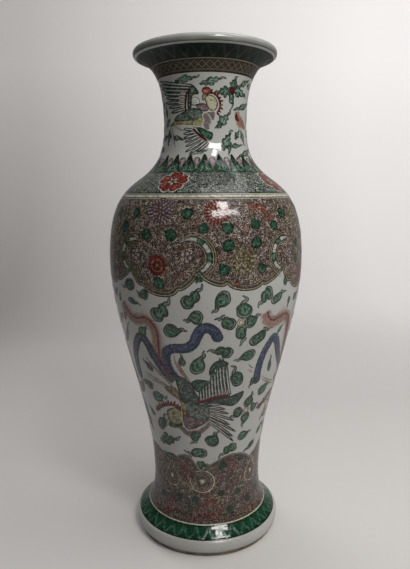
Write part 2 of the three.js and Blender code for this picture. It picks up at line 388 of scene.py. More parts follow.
def lay(drawing, turn, rise, angle=0.0, size=1.0, tall=None, shade=0.0, keep=True):
    """Lays copies of a drawing on the porcelain. Each number may be an array, one value a copy."""
    turn, rise, angle, size, shade = np.broadcast_arrays(
        *(np.atleast_1d(np.asarray(v, float)) for v in (turn, rise, angle, size, shade)))
    tall = size if tall is None else np.broadcast_to(np.asarray(tall, float), size.shape)
    turn = (turn + math.pi) % TURN - math.pi
    cos, sin = np.cos(angle)[:, None], np.sin(angle)[:, None]
    mirrored = (size * tall < 0)[:, None, None]
    for enamel, points, height, tone, pool, faces in drawing.patches:
        x = points[:, 0] * size[:, None]
        y = points[:, 1] * tall[:, None]
        up = rise[:, None] + x * sin + y * cos
        round_to = turn[:, None] + (x * cos - y * sin) / radius_at(up)
        where = on_skin(round_to, up, height)
        uv = np.stack([np.clip(round_to / TURN + 0.5, 0.0005, 0.9995), up / SKIN_RISE[-1]], -1)
        corners = faces + np.arange(len(turn))[:, None, None] * len(points)
        corners = np.where(mirrored, corners[..., ::-1], corners)
        pool = np.broadcast_to(pool, up.shape)
        laid[enamel].append((where.reshape(-1, 3), uv.reshape(-1, 2), (tone + shade[:, None]).ravel(),
                             pool.ravel(), corners.reshape(-1, 3)))
        if keep:
            taken.append(np.stack([round_to.ravel(), up.ravel()], 1))


def lay_at(drawing, pixel, swings=0.0, **how):
    """Lays a drawing at a pixel of the photograph, and at each swing round the vase from there."""
    turn, rise = seen(pixel)[0]
    lay(drawing, turn + np.asarray(swings), rise, **how)


def painted(name, enamel, material, slot_name):
    """One piece out of all the patches of an enamel."""
    points, uv, tone, pool, faces = zip(*laid[enamel])
    firsts = np.cumsum([0] + [len(p) for p in points[:-1]])
    faces = np.concatenate([rows + first for rows, first in zip(faces, firsts)])
    uv = np.concatenate(uv)[faces.ravel()]
    attributes = {"tone": np.concatenate(tone), "pool": np.concatenate(pool)}
    mesh = mesh_from(name, np.concatenate(points), faces, uv, attributes)
    return finish_piece(name, mesh, [material])


def flat(pixels, middle):
    """Pixels of the photograph as millimetres round and up the vase from the middle, another pixel."""
    places, centre = seen(pixels), seen(middle)[0]
    return np.stack([(places[:, 0] - centre[0]) * radius_at(places[:, 1]), places[:, 1] - centre[1]], 1)


def clear_of(turn, rise, gap):
    """Which places lie further than the gap, in millimetres, from all that is laid so far."""
    marks = np.vstack(taken)[::3]
    keep = np.ones(len(turn), bool)
    for k, (t, s) in enumerate(zip(turn, rise)):
        near = np.abs(marks[:, 1] - s) < gap
        swing = np.abs((marks[near, 0] - t + math.pi) % TURN - math.pi) * radius_at(s)
        keep[k] = not (np.hypot(swing, marks[near, 1] - s) < gap).any()
    return keep


# Materials

def node(tree, kind, inputs=None, **settings):
    """A shader node with its settings. inputs gives sockets a value or another node's output."""
    made = tree.nodes.new("ShaderNode" + kind)
    for key, value in settings.items():
        setattr(made, key, value)
    for key, value in (inputs or {}).items():
        if isinstance(value, bpy.types.NodeSocket):
            tree.links.new(value, made.inputs[key])
        else:
            made.inputs[key].default_value = value
    return made


def group(name, inputs, outputs):
    tree = bpy.data.node_groups.new(name, "ShaderNodeTree")
    for label, kind, value in inputs:
        socket = tree.interface.new_socket(label, in_out="INPUT", socket_type="NodeSocket" + kind)
        if value is not None:
            socket.default_value = value
    for label, kind in outputs:
        tree.interface.new_socket(label, in_out="OUTPUT", socket_type="NodeSocket" + kind)
    return tree, tree.nodes.new("NodeGroupInput"), tree.nodes.new("NodeGroupOutput")


def mixed(tree, share, a, b):
    """The colour that is a at a share of 0 and b at 1."""
    return node(tree, "Mix", {0: share, 6: a, 7: b}, data_type="RGBA").outputs[2]


def maths(tree, operation, *values, clamp=False):
    made = node(tree, "Math", dict(enumerate(values)), operation=operation, use_clamp=clamp)
    return made.outputs[0]


def noise(tree, scale, detail=2.0, roughness=0.5):
    place = node(tree, "TexCoord").outputs["Object"]
    inputs = {"Vector": place, "Scale": scale, "Detail": detail, "Roughness": roughness}
    return node(tree, "TexNoise", inputs).outputs["Fac"]


def ranged(tree, value, low, high, start, end):
    """A value that runs from start to end as the given one runs from low to high."""
    inputs = {"Value": value, "From Min": low, "From Max": high, "To Min": start, "To Max": end}
    return node(tree, "MapRange", inputs).outputs["Result"]


def glaze_skin_group():
    """The soft ripple and the fine pinholes of a fired surface."""
    tree, given, out = group("glaze_skin", [("Ripple", "Float", 0.5), ("Gloss", "Float", 0.12)],
                             [("Normal", "Vector"), ("Roughness", "Float")])
    height = maths(tree, "MULTIPLY_ADD", noise(tree, 1400.0, 1.0), 0.04, noise(tree, 90.0, 3.0))
    bump = node(tree, "Bump", {"Strength": given.outputs["Ripple"], "Distance": 0.0006, "Height": height})
    smear = maths(tree, "MULTIPLY_ADD", noise(tree, 220.0, 4.0), 0.12, given.outputs["Gloss"])
    tree.links.new(bump.outputs["Normal"], out.inputs["Normal"])
    tree.links.new(maths(tree, "SUBTRACT", smear, 0.06, clamp=True), out.inputs["Roughness"])
    return tree


def pooled_colour_group():
    """Glassy enamel: darker where it pools, paler where the brush left it thin."""
    tree, given, out = group(
        "pooled_colour",
        [("Deep", "Color", None), ("Body", "Color", None), ("Thin", "Color", None),
         ("Tone", "Float", 0.5), ("Pool", "Float", 0.5), ("Mottle", "Float", 1.0)], [("Colour", "Color")])
    patches = maths(tree, "MULTIPLY", noise(tree, 150.0, 2.0), 0.6)
    uneven = maths(tree, "MULTIPLY_ADD", noise(tree, 480.0, 3.0, 0.65), 2.8, patches)
    level = maths(tree, "MULTIPLY_ADD", maths(tree, "SUBTRACT", uneven, 1.7), given.outputs["Mottle"],
                  given.outputs["Tone"])
    level = maths(tree, "MULTIPLY_ADD", given.outputs["Pool"], 0.6, maths(tree, "SUBTRACT", level, 0.3))
    dark = maths(tree, "MULTIPLY", level, 2.0, clamp=True)
    pale = maths(tree, "MULTIPLY_ADD", level, 2.0, -1.0, clamp=True)
    body = mixed(tree, dark, given.outputs["Deep"], given.outputs["Body"])
    tree.links.new(mixed(tree, pale, body, given.outputs["Thin"]), out.inputs["Colour"])
    return tree


def scrolled_ground_group():
    """A ground drawn over with fine curling lines: pale ones first, then dark."""
    tree, given, out = group(
        "scrolled_ground",
        [("Ground", "Color", None), ("Pale", "Color", None), ("Dark", "Color", None),
         ("Scale", "Float", 400.0), ("Pale width", "Float", 0.12), ("Dark width", "Float", 0.08)],
        [("Colour", "Color"), ("Height", "Float")])
    place = node(tree, "TexCoord").outputs["Object"]
    drift = node(tree, "TexNoise", {"Vector": place, "Scale": 700.0, "Detail": 1.0}).outputs["Color"]
    shifted = node(tree, "VectorMath", {0: drift, 1: (0.004, 0.004, 0.004)}, operation="MULTIPLY")
    curled = node(tree, "VectorMath", {0: place, 1: shifted.outputs[0]}, operation="ADD").outputs[0]
    lines = []
    for offset, width in (((0, 0, 0), "Pale width"), ((0.4, 0.3, 0.1), "Dark width")):
        moved = node(tree, "VectorMath", {0: curled, 1: offset}, operation="ADD").outputs[0]
        cells = node(tree, "TexVoronoi", {"Vector": moved, "Scale": given.outputs["Scale"]},
                     feature="DISTANCE_TO_EDGE").outputs["Distance"]
        thin = maths(tree, "DIVIDE", cells, given.outputs[width])
        lines.append(maths(tree, "SUBTRACT", 1.0, thin, clamp=True))
    patchy = maths(tree, "MULTIPLY_ADD", noise(tree, 160.0, 3.0), 2.4, -0.75, clamp=True)
    ground = mixed(tree, patchy, given.outputs["Dark"], given.outputs["Ground"])
    pale = maths(tree, "MULTIPLY", lines[0], 1.6, clamp=True)
    colour = mixed(tree, pale, ground, given.outputs["Pale"])
    dark = maths(tree, "MULTIPLY", lines[1], 1.4, clamp=True)
    tree.links.new(mixed(tree, dark, colour, given.outputs["Dark"]), out.inputs["Colour"])
    tree.links.new(lines[0], out.inputs["Height"])
    return tree


GLAZE_SKIN = glaze_skin_group()
POOLED_COLOUR = pooled_colour_group()
SCROLLED_GROUND = scrolled_ground_group()


def colour(red, green, blue):
    return (red, green, blue, 1.0)


def new_material(name):
    material = bpy.data.materials.new(name)
    material.use_nodes = True
    tree = material.node_tree
    return material, tree, tree.nodes["Principled BSDF"]


def attribute(tree, name):
    return node(tree, "Attribute", attribute_name=name).outputs["Fac"]


def fired(tree, shader, ripple, gloss, relief=None):
    """Gives a surface the fired skin, with a fine relief on it where there is one."""
    skin = node(tree, "Group", {"Ripple": ripple, "Gloss": gloss}, node_tree=GLAZE_SKIN)
    normal = skin.outputs["Normal"]
    if relief is not None:
        inputs = {"Strength": 0.4, "Distance": 0.00012, "Height": relief, "Normal": normal}
        normal = node(tree, "Bump", inputs).outputs["Normal"]
    tree.links.new(normal, shader.inputs["Normal"])
    tree.links.new(skin.outputs["Roughness"], shader.inputs["Roughness"])


def enamel(name, deep, body, thin, gloss=0.08, mottle=1.0, shine=0.5):
    """A glassy enamel, with its colour where it is deep, where it is even and where it is thin."""
    material, tree, shader = new_material(name)
    values = {"Deep": colour(*deep), "Body": colour(*body), "Thin": colour(*thin), "Mottle": mottle,
              "Tone": attribute(tree, "tone"), "Pool": attribute(tree, "pool")}
    made = node(tree, "Group", values, node_tree=POOLED_COLOUR)
    tree.links.new(made.outputs["Colour"], shader.inputs["Base Color"])
    shader.inputs["IOR"].default_value = 1.55
    shader.inputs["Specular IOR Level"].default_value = shine
    fired(tree, shader, 0.35, gloss)
    return material


def scrolled(name, ground, pale, dark, scale, pale_width, dark_width, gloss=0.08, shine=0.5):
    """A coloured ground covered in fine curling lines."""
    material, tree, shader = new_material(name)
    values = {"Ground": colour(*ground), "Pale": colour(*pale), "Dark": colour(*dark), "Scale": scale,
              "Pale width": pale_width, "Dark width": dark_width}
    made = node(tree, "Group", values, node_tree=SCROLLED_GROUND)
    tree.links.new(made.outputs["Colour"], shader.inputs["Base Color"])
    shader.inputs["Specular IOR Level"].default_value = shine
    fired(tree, shader, 0.35, gloss, made.outputs["Height"])
    return material


def white_glaze_material():
    """Porcelain under a clear glaze: slightly grey-green, with faint clouds and a few iron specks."""
    material, tree, shader = new_material("white_glaze")
    clouds = maths(tree, "MULTIPLY_ADD", noise(tree, 28.0, 4.0), 1.8, -0.4, clamp=True)
    base = mixed(tree, clouds, colour(0.45, 0.46, 0.43), colour(0.52, 0.52, 0.495))
    speck = maths(tree, "MULTIPLY_ADD", noise(tree, 900.0, 0.0), 14.0, -11.2, clamp=True)
    tree.links.new(mixed(tree, speck, base, colour(0.16, 0.12, 0.08)), shader.inputs["Base Color"])
    shader.inputs["Coat Weight"].default_value = 0.3
    fired(tree, shader, 0.55, 0.07)
    return material


def shaded_glaze_material(name, dark, pale):
    """The clear glaze with painted shade on the lip's underside: dark where the tone is low, paler as the
    tone rises.
    """
    material, tree, shader = new_material(name)
    uneven = maths(tree, "MULTIPLY_ADD", noise(tree, 60.0, 3.0), 0.5, attribute(tree, "tone"))
    share = maths(tree, "SUBTRACT", uneven, 0.25, clamp=True)
    tree.links.new(mixed(tree, share, colour(*dark), colour(*pale)), shader.inputs["Base Color"])
    shader.inputs["Coat Weight"].default_value = 0.3
    fired(tree, shader, 0.45, 0.1)
    return material


def bare_material(name, dark, pale, roughness):
    """Fired clay or slip without glaze, stained by use."""
    material, tree, shader = new_material(name)
    stain = maths(tree, "MULTIPLY_ADD", noise(tree, 130.0, 5.0, 0.65), 2.2, -0.6, clamp=True)
    tree.links.new(mixed(tree, stain, colour(*dark), colour(*pale)), shader.inputs["Base Color"])
    bump = node(tree, "Bump", {"Strength": 0.5, "Distance": 0.0002, "Height": noise(tree, 1600.0, 2.0)})
    tree.links.new(bump.outputs["Normal"], shader.inputs["Normal"])
    tree.links.new(maths(tree, "MULTIPLY_ADD", stain, -0.15, roughness), shader.inputs["Roughness"])
    return material


white_glaze = white_glaze_material()
bare_slip = bare_material("bare_slip", (0.36, 0.31, 0.24), (0.55, 0.50, 0.42), 0.85)
bare_biscuit = bare_material("bare_biscuit", (0.12, 0.085, 0.06), (0.36, 0.29, 0.22), 0.8)
green_enamel = enamel("green_enamel", (0.006, 0.018, 0.011), (0.024, 0.078, 0.043), (0.12, 0.23, 0.15))
grey_enamel = enamel("grey_green_enamel", (0.018, 0.026, 0.022), (0.06, 0.085, 0.07), (0.22, 0.27, 0.225))
neck_green = enamel("pale_green_enamel", (0.012, 0.028, 0.02), (0.06, 0.115, 0.08), (0.22, 0.32, 0.25))
red_enamel = enamel("iron_red_enamel", (0.07, 0.01, 0.008), (0.26, 0.05, 0.034), (0.48, 0.21, 0.155))
red_wash = enamel("iron_red_wash", (0.18, 0.065, 0.048), (0.33, 0.215, 0.175), (0.48, 0.48, 0.45),
                  mottle=0.4)
mauve_shade = enamel("mauve_shade", (0.06, 0.04, 0.04), (0.21, 0.17, 0.165), (0.48, 0.48, 0.45), mottle=0.45)
yellow_enamel = enamel("yellow_enamel", (0.07, 0.055, 0.02), (0.29, 0.265, 0.14), (0.5, 0.48, 0.33))
aubergine_enamel = enamel("aubergine_enamel", (0.045, 0.026, 0.03), (0.16, 0.115, 0.12), (0.42, 0.35, 0.355))
blue_enamel = enamel("blue_enamel", (0.009, 0.014, 0.03), (0.033, 0.052, 0.108), (0.12, 0.16, 0.25))
pale_enamel = enamel("chalk_white_enamel", (0.20, 0.21, 0.19), (0.40, 0.41, 0.37), (0.60, 0.60, 0.56))
cream_enamel = enamel("cream_enamel", (0.22, 0.19, 0.11), (0.46, 0.42, 0.30), (0.66, 0.63, 0.51))
curl_enamel = enamel("curl_enamel", (0.11, 0.055, 0.045), (0.31, 0.25, 0.20), (0.58, 0.53, 0.46))
outline_ink = enamel("outline_ink", (0.006, 0.007, 0.006), (0.018, 0.018, 0.015), (0.07, 0.06, 0.05))
# The lip's glaze with painted shade: dark grey-green low on the lip, glaze white above
lip_glaze = shaded_glaze_material("shaded_lip_glaze", (0.075, 0.08, 0.07), (0.44, 0.452, 0.422))
# Painted shade: the green of the foot's band, made far darker because the mouth's band lies in shade under
# the lip
mouth_green = enamel("mouth_green_painted_shade", (0.004, 0.01, 0.008), (0.006, 0.012, 0.009), (0.009, 0.02, 0.015),
                     gloss=0.4, mottle=0.5, shine=0.2)
foot_green = enamel("foot_green_enamel", (0.004, 0.02, 0.01), (0.005, 0.03, 0.016), (0.014, 0.065, 0.036))
brown_ground = scrolled("millefleur_ground", (0.06, 0.036, 0.03), (0.28, 0.22, 0.175),
                        (0.012, 0.009, 0.008), 480.0, 0.14, 0.10)
seeded_ground = scrolled("seeded_green_ground", (0.035, 0.065, 0.05), (0.26, 0.32, 0.27),
                         (0.01, 0.018, 0.014), 560.0, 0.14, 0.14)
mouth_ground = scrolled("mouth_brown_ground", (0.024, 0.013, 0.008), (0.10, 0.065, 0.034),
                        (0.008, 0.006, 0.004), 520.0, 0.10, 0.12, gloss=0.3, shine=0.3)


# Turned porcelain

def wall_at(height):
    """The wall's thickness, which changes smoothly from the body's to the neck's."""
    share = np.clip((height - BELLY) / (NECK_MIDDLE - BELLY), 0, 1)
    share = share * share * (3 - 2 * share)
    return BODY_WALL + (NECK_WALL - BODY_WALL) * share


# The inside of the wall, and its rows that lie clear of the foot's bead and the lip's curl
INNER = SKIN - SKIN_NORMAL * (wall_at(SKIN[:, 1]) - ENAMEL)[:, None]
INNER_ROWS = slice(BEAD_STEPS + 4, LIP_TOP_ROW - 14)


def inner_radius(height):
    return float(np.interp(height, INNER[INNER_ROWS, 1], INNER[INNER_ROWS, 0]))


def skin_between(low, high):
    rises = np.arange(rise_at(low) + SKIN_STEP / 2, rise_at(high) - SKIN_STEP / 4, SKIN_STEP)
    rises = np.concatenate([[rise_at(low)], rises, [rise_at(high)]])
    return np.stack([radius_at(rises), height_at(rises)], 1)


def inner_between(low, high):
    heights = np.linspace(low, high, max(3, round((high - low) / INNER_STEP)))
    return np.array([(inner_radius(h), h) for h in heights])


def glazed(name, profile, sharp_rows):
    """Stands a turned and glazed piece in for the section of that name."""
    mesh = turned(name, profile, sharp_rows)
    return finish_piece(name + "_glazed", mesh, [white_glaze], [name])


def luted(name, profile, sharp_rows):
    """Stands a turned ring of bare slip in for the slip of that name."""
    mesh = turned(name, profile, sharp_rows)
    return finish_piece(name + "_ring", mesh, [bare_slip], [name])


def section(name, low, high):
    """A turned section: its glaze covers half of the slip in the seam at each end."""
    outer = skin_between(low + SLIP / 2, high + SLIP / 2)
    inner = inner_between(low + SLIP - SEAM_BEVEL, high - SEAM_BEVEL)[::-1]
    top = [(outer[-1][0] - SLIP_COVER, outer[-1][1]), (outer[-1][0] - SLIP_COVER, high)]
    bottom = [(outer[0][0] - SLIP_COVER, low + SLIP), (outer[0][0] - SLIP_COVER, outer[0][1])]
    n, m = len(outer), len(inner)
    sharp = [0, n - 1, n, n + 1, n + 2, n + 1 + m, n + 2 + m, n + 3 + m]
    glazed(name, np.vstack([outer, top, inner, bottom]), sharp)


def slip_ring(name, seam):
    """The slip of a seam, squeezed out into a soft bead on the inside."""
    reach = float(np.interp(seam, SKIN[:, 1], SKIN[:, 0])) - SLIP_COVER
    low = (inner_radius(seam - SEAM_BEVEL), seam - SEAM_BEVEL)
    high = (inner_radius(seam + SLIP - SEAM_BEVEL), seam + SLIP - SEAM_BEVEL)
    middle = ((low[0] + high[0]) / 2, (low[1] + high[1]) / 2)
    bead = [(middle[0] + (low[0] - middle[0]) * k - SLIP_BEAD * math.sqrt(max(0, 1 - k * k)),
             middle[1] + (low[1] - middle[1]) * k) for k in np.linspace(-1, 1, 9)]
    profile = [(reach, seam), (reach, seam + SLIP), *bead]
    luted(name, profile, [0, 1, 2, len(profile) - 1])


def foot_piece():
    """The foot with its bead and the recess under it. The rim that it stands on is bare."""
    outer = skin_between(BEAD_BOTTOM, FOOT_SEAM + SLIP / 2)
    rim_outer = FOOT_RADIUS - BEAD_INSET - ENAMEL - RIM_CHAMFER
    rim_inner = rim_outer - RIM_WIDTH
    seat = inner_radius(FOOT_SEAM - SEAM_BEVEL)
    ledge = seat - LEDGE
    cover = outer[-1][0] - SLIP_COVER
    inside = [(cover, outer[-1][1]), (cover, FOOT_SEAM), (seat, FOOT_SEAM - SEAM_BEVEL),
              (ledge, RECESS + FLOOR + SEAM_BEVEL), (ledge, RECESS), (rim_inner - RIM_TAPER, RECESS)]
    rim = [(rim_inner, RIM_SOFT), (rim_inner + RIM_SOFT, 0), (rim_outer - RIM_SOFT, 0),
           (rim_outer, RIM_SOFT)]
    n = len(outer)
    foot = glazed("foot", np.vstack([outer, inside, rim]), [0, *range(n - 1, n + 6)])
    foot.data.materials.append(bare_biscuit)
    bare = np.zeros(len(foot.data.polygons), np.int32)
    bare[(n + len(inside)) * ROUND:] = 1
    foot.data.polygons.foreach_set("material_index", bare)


def mouth_piece():
    """The flare and the rolled lip, whose curl ends inside the mouth."""
    low_rise = rise_at(MOUTH_SEAM + SLIP / 2)
    rises = np.concatenate([np.arange(low_rise, SKIN_RISE[-1] - 0.2, 0.5), [SKIN_RISE[-1]]])
    outer = np.stack([radius_at(rises), height_at(rises)], 1)
    end = outer[-1]
    rows = (INNER[:, 1] > MOUTH_SEAM + 1) & (INNER[:, 1] < end[1] - 1) & (INNER[:, 0] < end[0] - 2)
    inner = INNER[rows & (np.arange(len(INNER)) < LIP_TOP_ROW)][::-2]
    cover = outer[0][0] - SLIP_COVER
    low = [(inner_radius(MOUTH_SEAM + SLIP - SEAM_BEVEL), MOUTH_SEAM + SLIP - SEAM_BEVEL),
           (cover, MOUTH_SEAM + SLIP), (cover, outer[0][1])]
    n = len(outer) + len(inner)
    glazed("mouth", np.vstack([outer, inner, low]), [0, n, n + 1, n + 2])


def floor_pieces():
    """The floor disc in the foot, and the fillet of slip that holds it."""
    ledge = inner_radius(FOOT_SEAM - SEAM_BEVEL) - LEDGE
    edge = ledge - SLIP
    radii = np.linspace(0.5, edge, 24)
    under = [(r, RECESS) for r in radii]
    over = [(r, RECESS + FLOOR) for r in radii[::-1]]
    glazed("base_floor", under + over, [len(under) - 1, len(under)])
    ring = [(edge, RECESS), (ledge, RECESS), (ledge, RECESS + FLOOR + SEAM_BEVEL),
            ((edge + ledge) / 2 - 0.2, RECESS + FLOOR + 0.5), (edge, RECESS + FLOOR)]
    luted("floor_slip", ring, range(5))


# Painted bands

# The edges of the grounds, as pixels along one quarter of the vase. The upper one hangs in scallops
# from its cusps, each with the depth of the scallop that follows it
UPPER_CUSPS = [((131, 268.5), 6), ((142.7, 283.6), 10.2), ((178.4, 289.5), 5.6), ((198.5, 273.2), 7),
               ((227.3, 283.3), 7.5), ((262.4, 283.3), 5), ((281.8, 268.2), 0)]
LOWER_EDGE = [(170.4, 457.4), (174.6, 457.2), (179.6, 454.6), (185, 453.9), (190.4, 457), (194.8, 462.3),
              (198.4, 468.2), (202.5, 469.4), (209.1, 464.8), (217.1, 460.5), (223.4, 456.6), (231.4, 453.5),
              (239.5, 452.4), (245.5, 453.2), (248.8, 455.6)]


def scalloped(cusps):
    """Pixels along half ovals that hang between the cusps."""
    rows = []
    for ((x0, y0), depth), ((x1, y1), _) in zip(cusps, cusps[1:]):
        share = (1 - np.cos(np.linspace(0, math.pi, 13))) / 2
        hang = depth * np.sqrt(1 - (2 * share - 1) ** 2)
        rows.append(np.stack([x0 + (x1 - x0) * share, y0 + (y1 - y0) * share + hang], 1)[:-1])
    return np.vstack(rows)


def quarterly(pixels):
    """A rise as a function of the turn, through the pixels, that repeats four times round the vase."""
    places = seen(pixels)
    turns = places[:, 0] % QUARTER
    order = np.argsort(turns)
    turns, rises = turns[order], places[order, 1]
    turns = np.concatenate([turns - QUARTER, turns, turns + QUARTER])
    rises = np.tile(rises, 3)
    fine = np.linspace(-QUARTER, 2 * QUARTER, 900)
    soft = np.interp(fine, turns, rises)
    soft = np.convolve(np.pad(soft, 1, mode="edge"), np.ones(3) / 3, mode="valid")
    return lambda turn: np.interp(np.asarray(turn) % QUARTER, fine, soft)


upper_edge = quarterly(scalloped(UPPER_CUSPS))
lower_edge = quarterly(LOWER_EDGE)


def ring_line(enamel_name, edge, width, top=0.12, tone=0.6, above=0.0):
    """A painted line right round the vase, in overlapping lengths, that far above an edge."""
    lengths, points = 12, 60
    half = points // 2
    for k in range(lengths):
        turn = np.linspace(k, k + 1.01, points) * TURN / lengths
        level = np.full(points, level_at(edge, turn))
        middle = float(level.mean())
        x = (turn - turn[half]) * radius_at(level)
        path = beside(np.stack([x, level - middle], 1), above)
        drawing = Drawing()
        drawing.stroke(enamel_name, path, width, top, tone, ends=(1, 1, 1), smoothed=False)
        lay(drawing, turn[half], middle, keep=False)


# The lines along the two shaped edges: enamel, width, tone and distance above the edge
UPPER_EDGE_LINES = [("ink", 0.9, 0.2, 0.3), ("cream", 1.0, 0.0, 1.3), ("ink", 0.7, 0.2, 2.2),
                    ("cream", 0.6, -0.3, 4.1), ("ink", 0.5, 0.3, 4.8)]
LOWER_EDGE_LINES = [("ink", 0.5, 0.4, 0.0), ("cream", 0.7, 0.0, -0.7), ("ink", 0.5, 0.4, -1.4),
                    ("aubergine", 1.4, 0.1, -2.3), ("ink", 0.5, 0.5, -3.2)]


def bands():
    mouth_top, mouth_cream, mouth_foot, seed_foot, cream, foot_cream = (
        rise_at(height) for height in (MOUTH_GREEN_TOP, MOUTH_CREAM, MOUTH_BROWN_FOOT, SHOULDER_FOOT,
                                       SHOULDER_CREAM, FOOT_CREAM))
    foot_low = rise_at(BEAD_TOP) + 0.4
    # Painted shade on the underside of the lip, darkest at its foot and fading out towards its top
    band("lip_painted_shade", mouth_top, rise_at(LIP_SHADE_TOP), lip_glaze, 0.03,
         step=0.5, tones=(0.0, 1.3))
    band("mouth_green_band", mouth_cream, mouth_top, mouth_green)
    band("mouth_brown_band", mouth_foot, mouth_cream, mouth_ground)
    band("shoulder_seeded_band", seed_foot, rise_at(LAPPET_FOOT), seeded_ground)
    for name, low, high in (("upper_millefleur_band", upper_edge, rise_at(MILLEFLEUR_TOP)),
                            ("lower_millefleur_band", foot_cream, lower_edge)):
        band(name, low, high, brown_ground, columns=720)
    band("foot_green_band", foot_low, foot_cream, foot_green)
    ring_line("cream", mouth_cream, 0.8, tone=-0.2)
    ring_line("ink", mouth_top, 0.5)
    ring_line("ink", mouth_foot, 0.9, tone=0.2)
    ring_line("ink", mouth_foot, 0.5, above=2.0)
    ring_line("green", seed_foot, 1.2, top=0.13, tone=0.1)
    ring_line("cream", cream, 2.6, top=0.14, tone=0.55)
    ring_line("ink", cream, 0.7, above=-1.7)
    ring_line("ink", cream, 0.4, above=1.6)
    ring_line("cream", foot_cream, 1.1, tone=0.7)
    ring_line("ink", foot_cream, 0.4, above=-0.8)
    ring_line("ink", foot_low, 0.7)
    for edge, rows in ((upper_edge, UPPER_EDGE_LINES), (lower_edge, LOWER_EDGE_LINES)):
        for name, width, tone, above in rows:
            ring_line(name, edge, width, tone=tone, above=above)


# Clouds

# Each kind has one or more drawings: the outline of a body about two across, and the path of a tail
# that ends two to the right. They are drawn CLOUD_SIZE times as large, which makes them CLOUD_WIDTH wide
CLOUDS = {
    "pear": [
        ([(-1, 0), (-0.82, 0.55), (-0.3, 0.8), (0.35, 0.8), (0.85, 0.5), (0.98, 0), (0.8, -0.5),
          (0.25, -0.8), (-0.4, -0.8), (-0.85, -0.5)],
         [(0.7, 0.4), (1.1, 0.35), (1.4, 0.05), (1.7, 0.15), (2, 0.6)]),
        ([(-1.05, 0), (-0.88, 0.42), (-0.4, 0.72), (0.1, 0.66), (0.6, 0.76), (0.95, 0.4),
          (0.92, -0.2), (0.55, -0.62), (0, -0.66), (-0.5, -0.74), (-0.9, -0.4)],
         [(0.7, 0.5), (1.1, 0.6), (1.4, 0.3), (1.7, 0.35), (2, 0)]),
        ([(-1, 0.1), (-0.8, 0.6), (-0.2, 0.8), (0.45, 0.6), (0.95, 0.25), (1.2, 0), (0.9, -0.35),
          (0.3, -0.75), (-0.3, -0.8), (-0.85, -0.45)],
         [(1, 0), (1.35, -0.2), (1.65, 0.05), (2, -0.15)])],
    "double": [
        ([(-1.15, 0), (-1, 0.55), (-0.55, 0.8), (-0.1, 0.6), (0.1, 0.42), (0.4, 0.66), (0.8, 0.6),
          (1.05, 0.2), (0.9, -0.3), (0.45, -0.6), (0.1, -0.5), (-0.25, -0.78), (-0.75, -0.72),
          (-1.1, -0.4)],
         [(0.8, 0.3), (1.2, 0.55), (1.45, 0.35), (1.75, 0.5), (2, 1)])],
    "triple": [
        ([(-1.5, -0.5), (-1.2, 0.05), (-0.72, 0.45), (-0.25, 0.92), (0.28, 0.84), (0.68, 0.46),
          (1.12, 0.42), (1.3, 0), (1.1, -0.74), (0.7, -0.62), (0.42, -0.12), (0.05, 0.04),
          (-0.35, -0.28), (-0.78, -0.66), (-1.3, -0.75)],
         [(1.2, 0.1), (1.45, -0.1), (1.7, 0.1), (2, 0.45)])],
    "slender": [
        ([(-1.1, 0.1), (-0.8, 0.5), (-0.2, 0.6), (0.5, 0.46), (1.2, 0.1), (0.6, -0.45),
          (-0.2, -0.58), (-0.8, -0.4)],
         [(1, 0.1), (1.4, 0.3), (1.7, 0.1), (2, 0.2)])],
    "lobed": [
        ([(-1.5, -0.25), (-1.3, 0.2), (-0.98, 0.06), (-0.8, 0.56), (-0.42, 0.44), (-0.2, 0.94),
          (0.28, 0.9), (0.4, 0.46), (0.76, 0.6), (0.96, 0.26), (1.3, 0.3), (1.4, 0), (1, -0.22),
          (0.78, -0.6), (0.36, -0.42), (0.06, -0.84), (-0.46, -0.76), (-0.6, -0.36),
          (-1.02, -0.6), (-1.28, -0.28)],
         [(1.2, 0.1), (1.5, -0.1), (1.75, 0.05), (2, 0.5)])],
}
CLOUD_SIZE, CLOUD_WIDTH = 5, 8.5
CURL_IN_CLOUD = [(-0.3, -0.5), (-0.62, -0.25), (-0.66, 0.15), (-0.35, 0.42), (0.1, 0.4)]
COMMA_IN_CLOUD = [(-0.1, -0.1), (0.2, 0.02), (0.5, 0.25)]

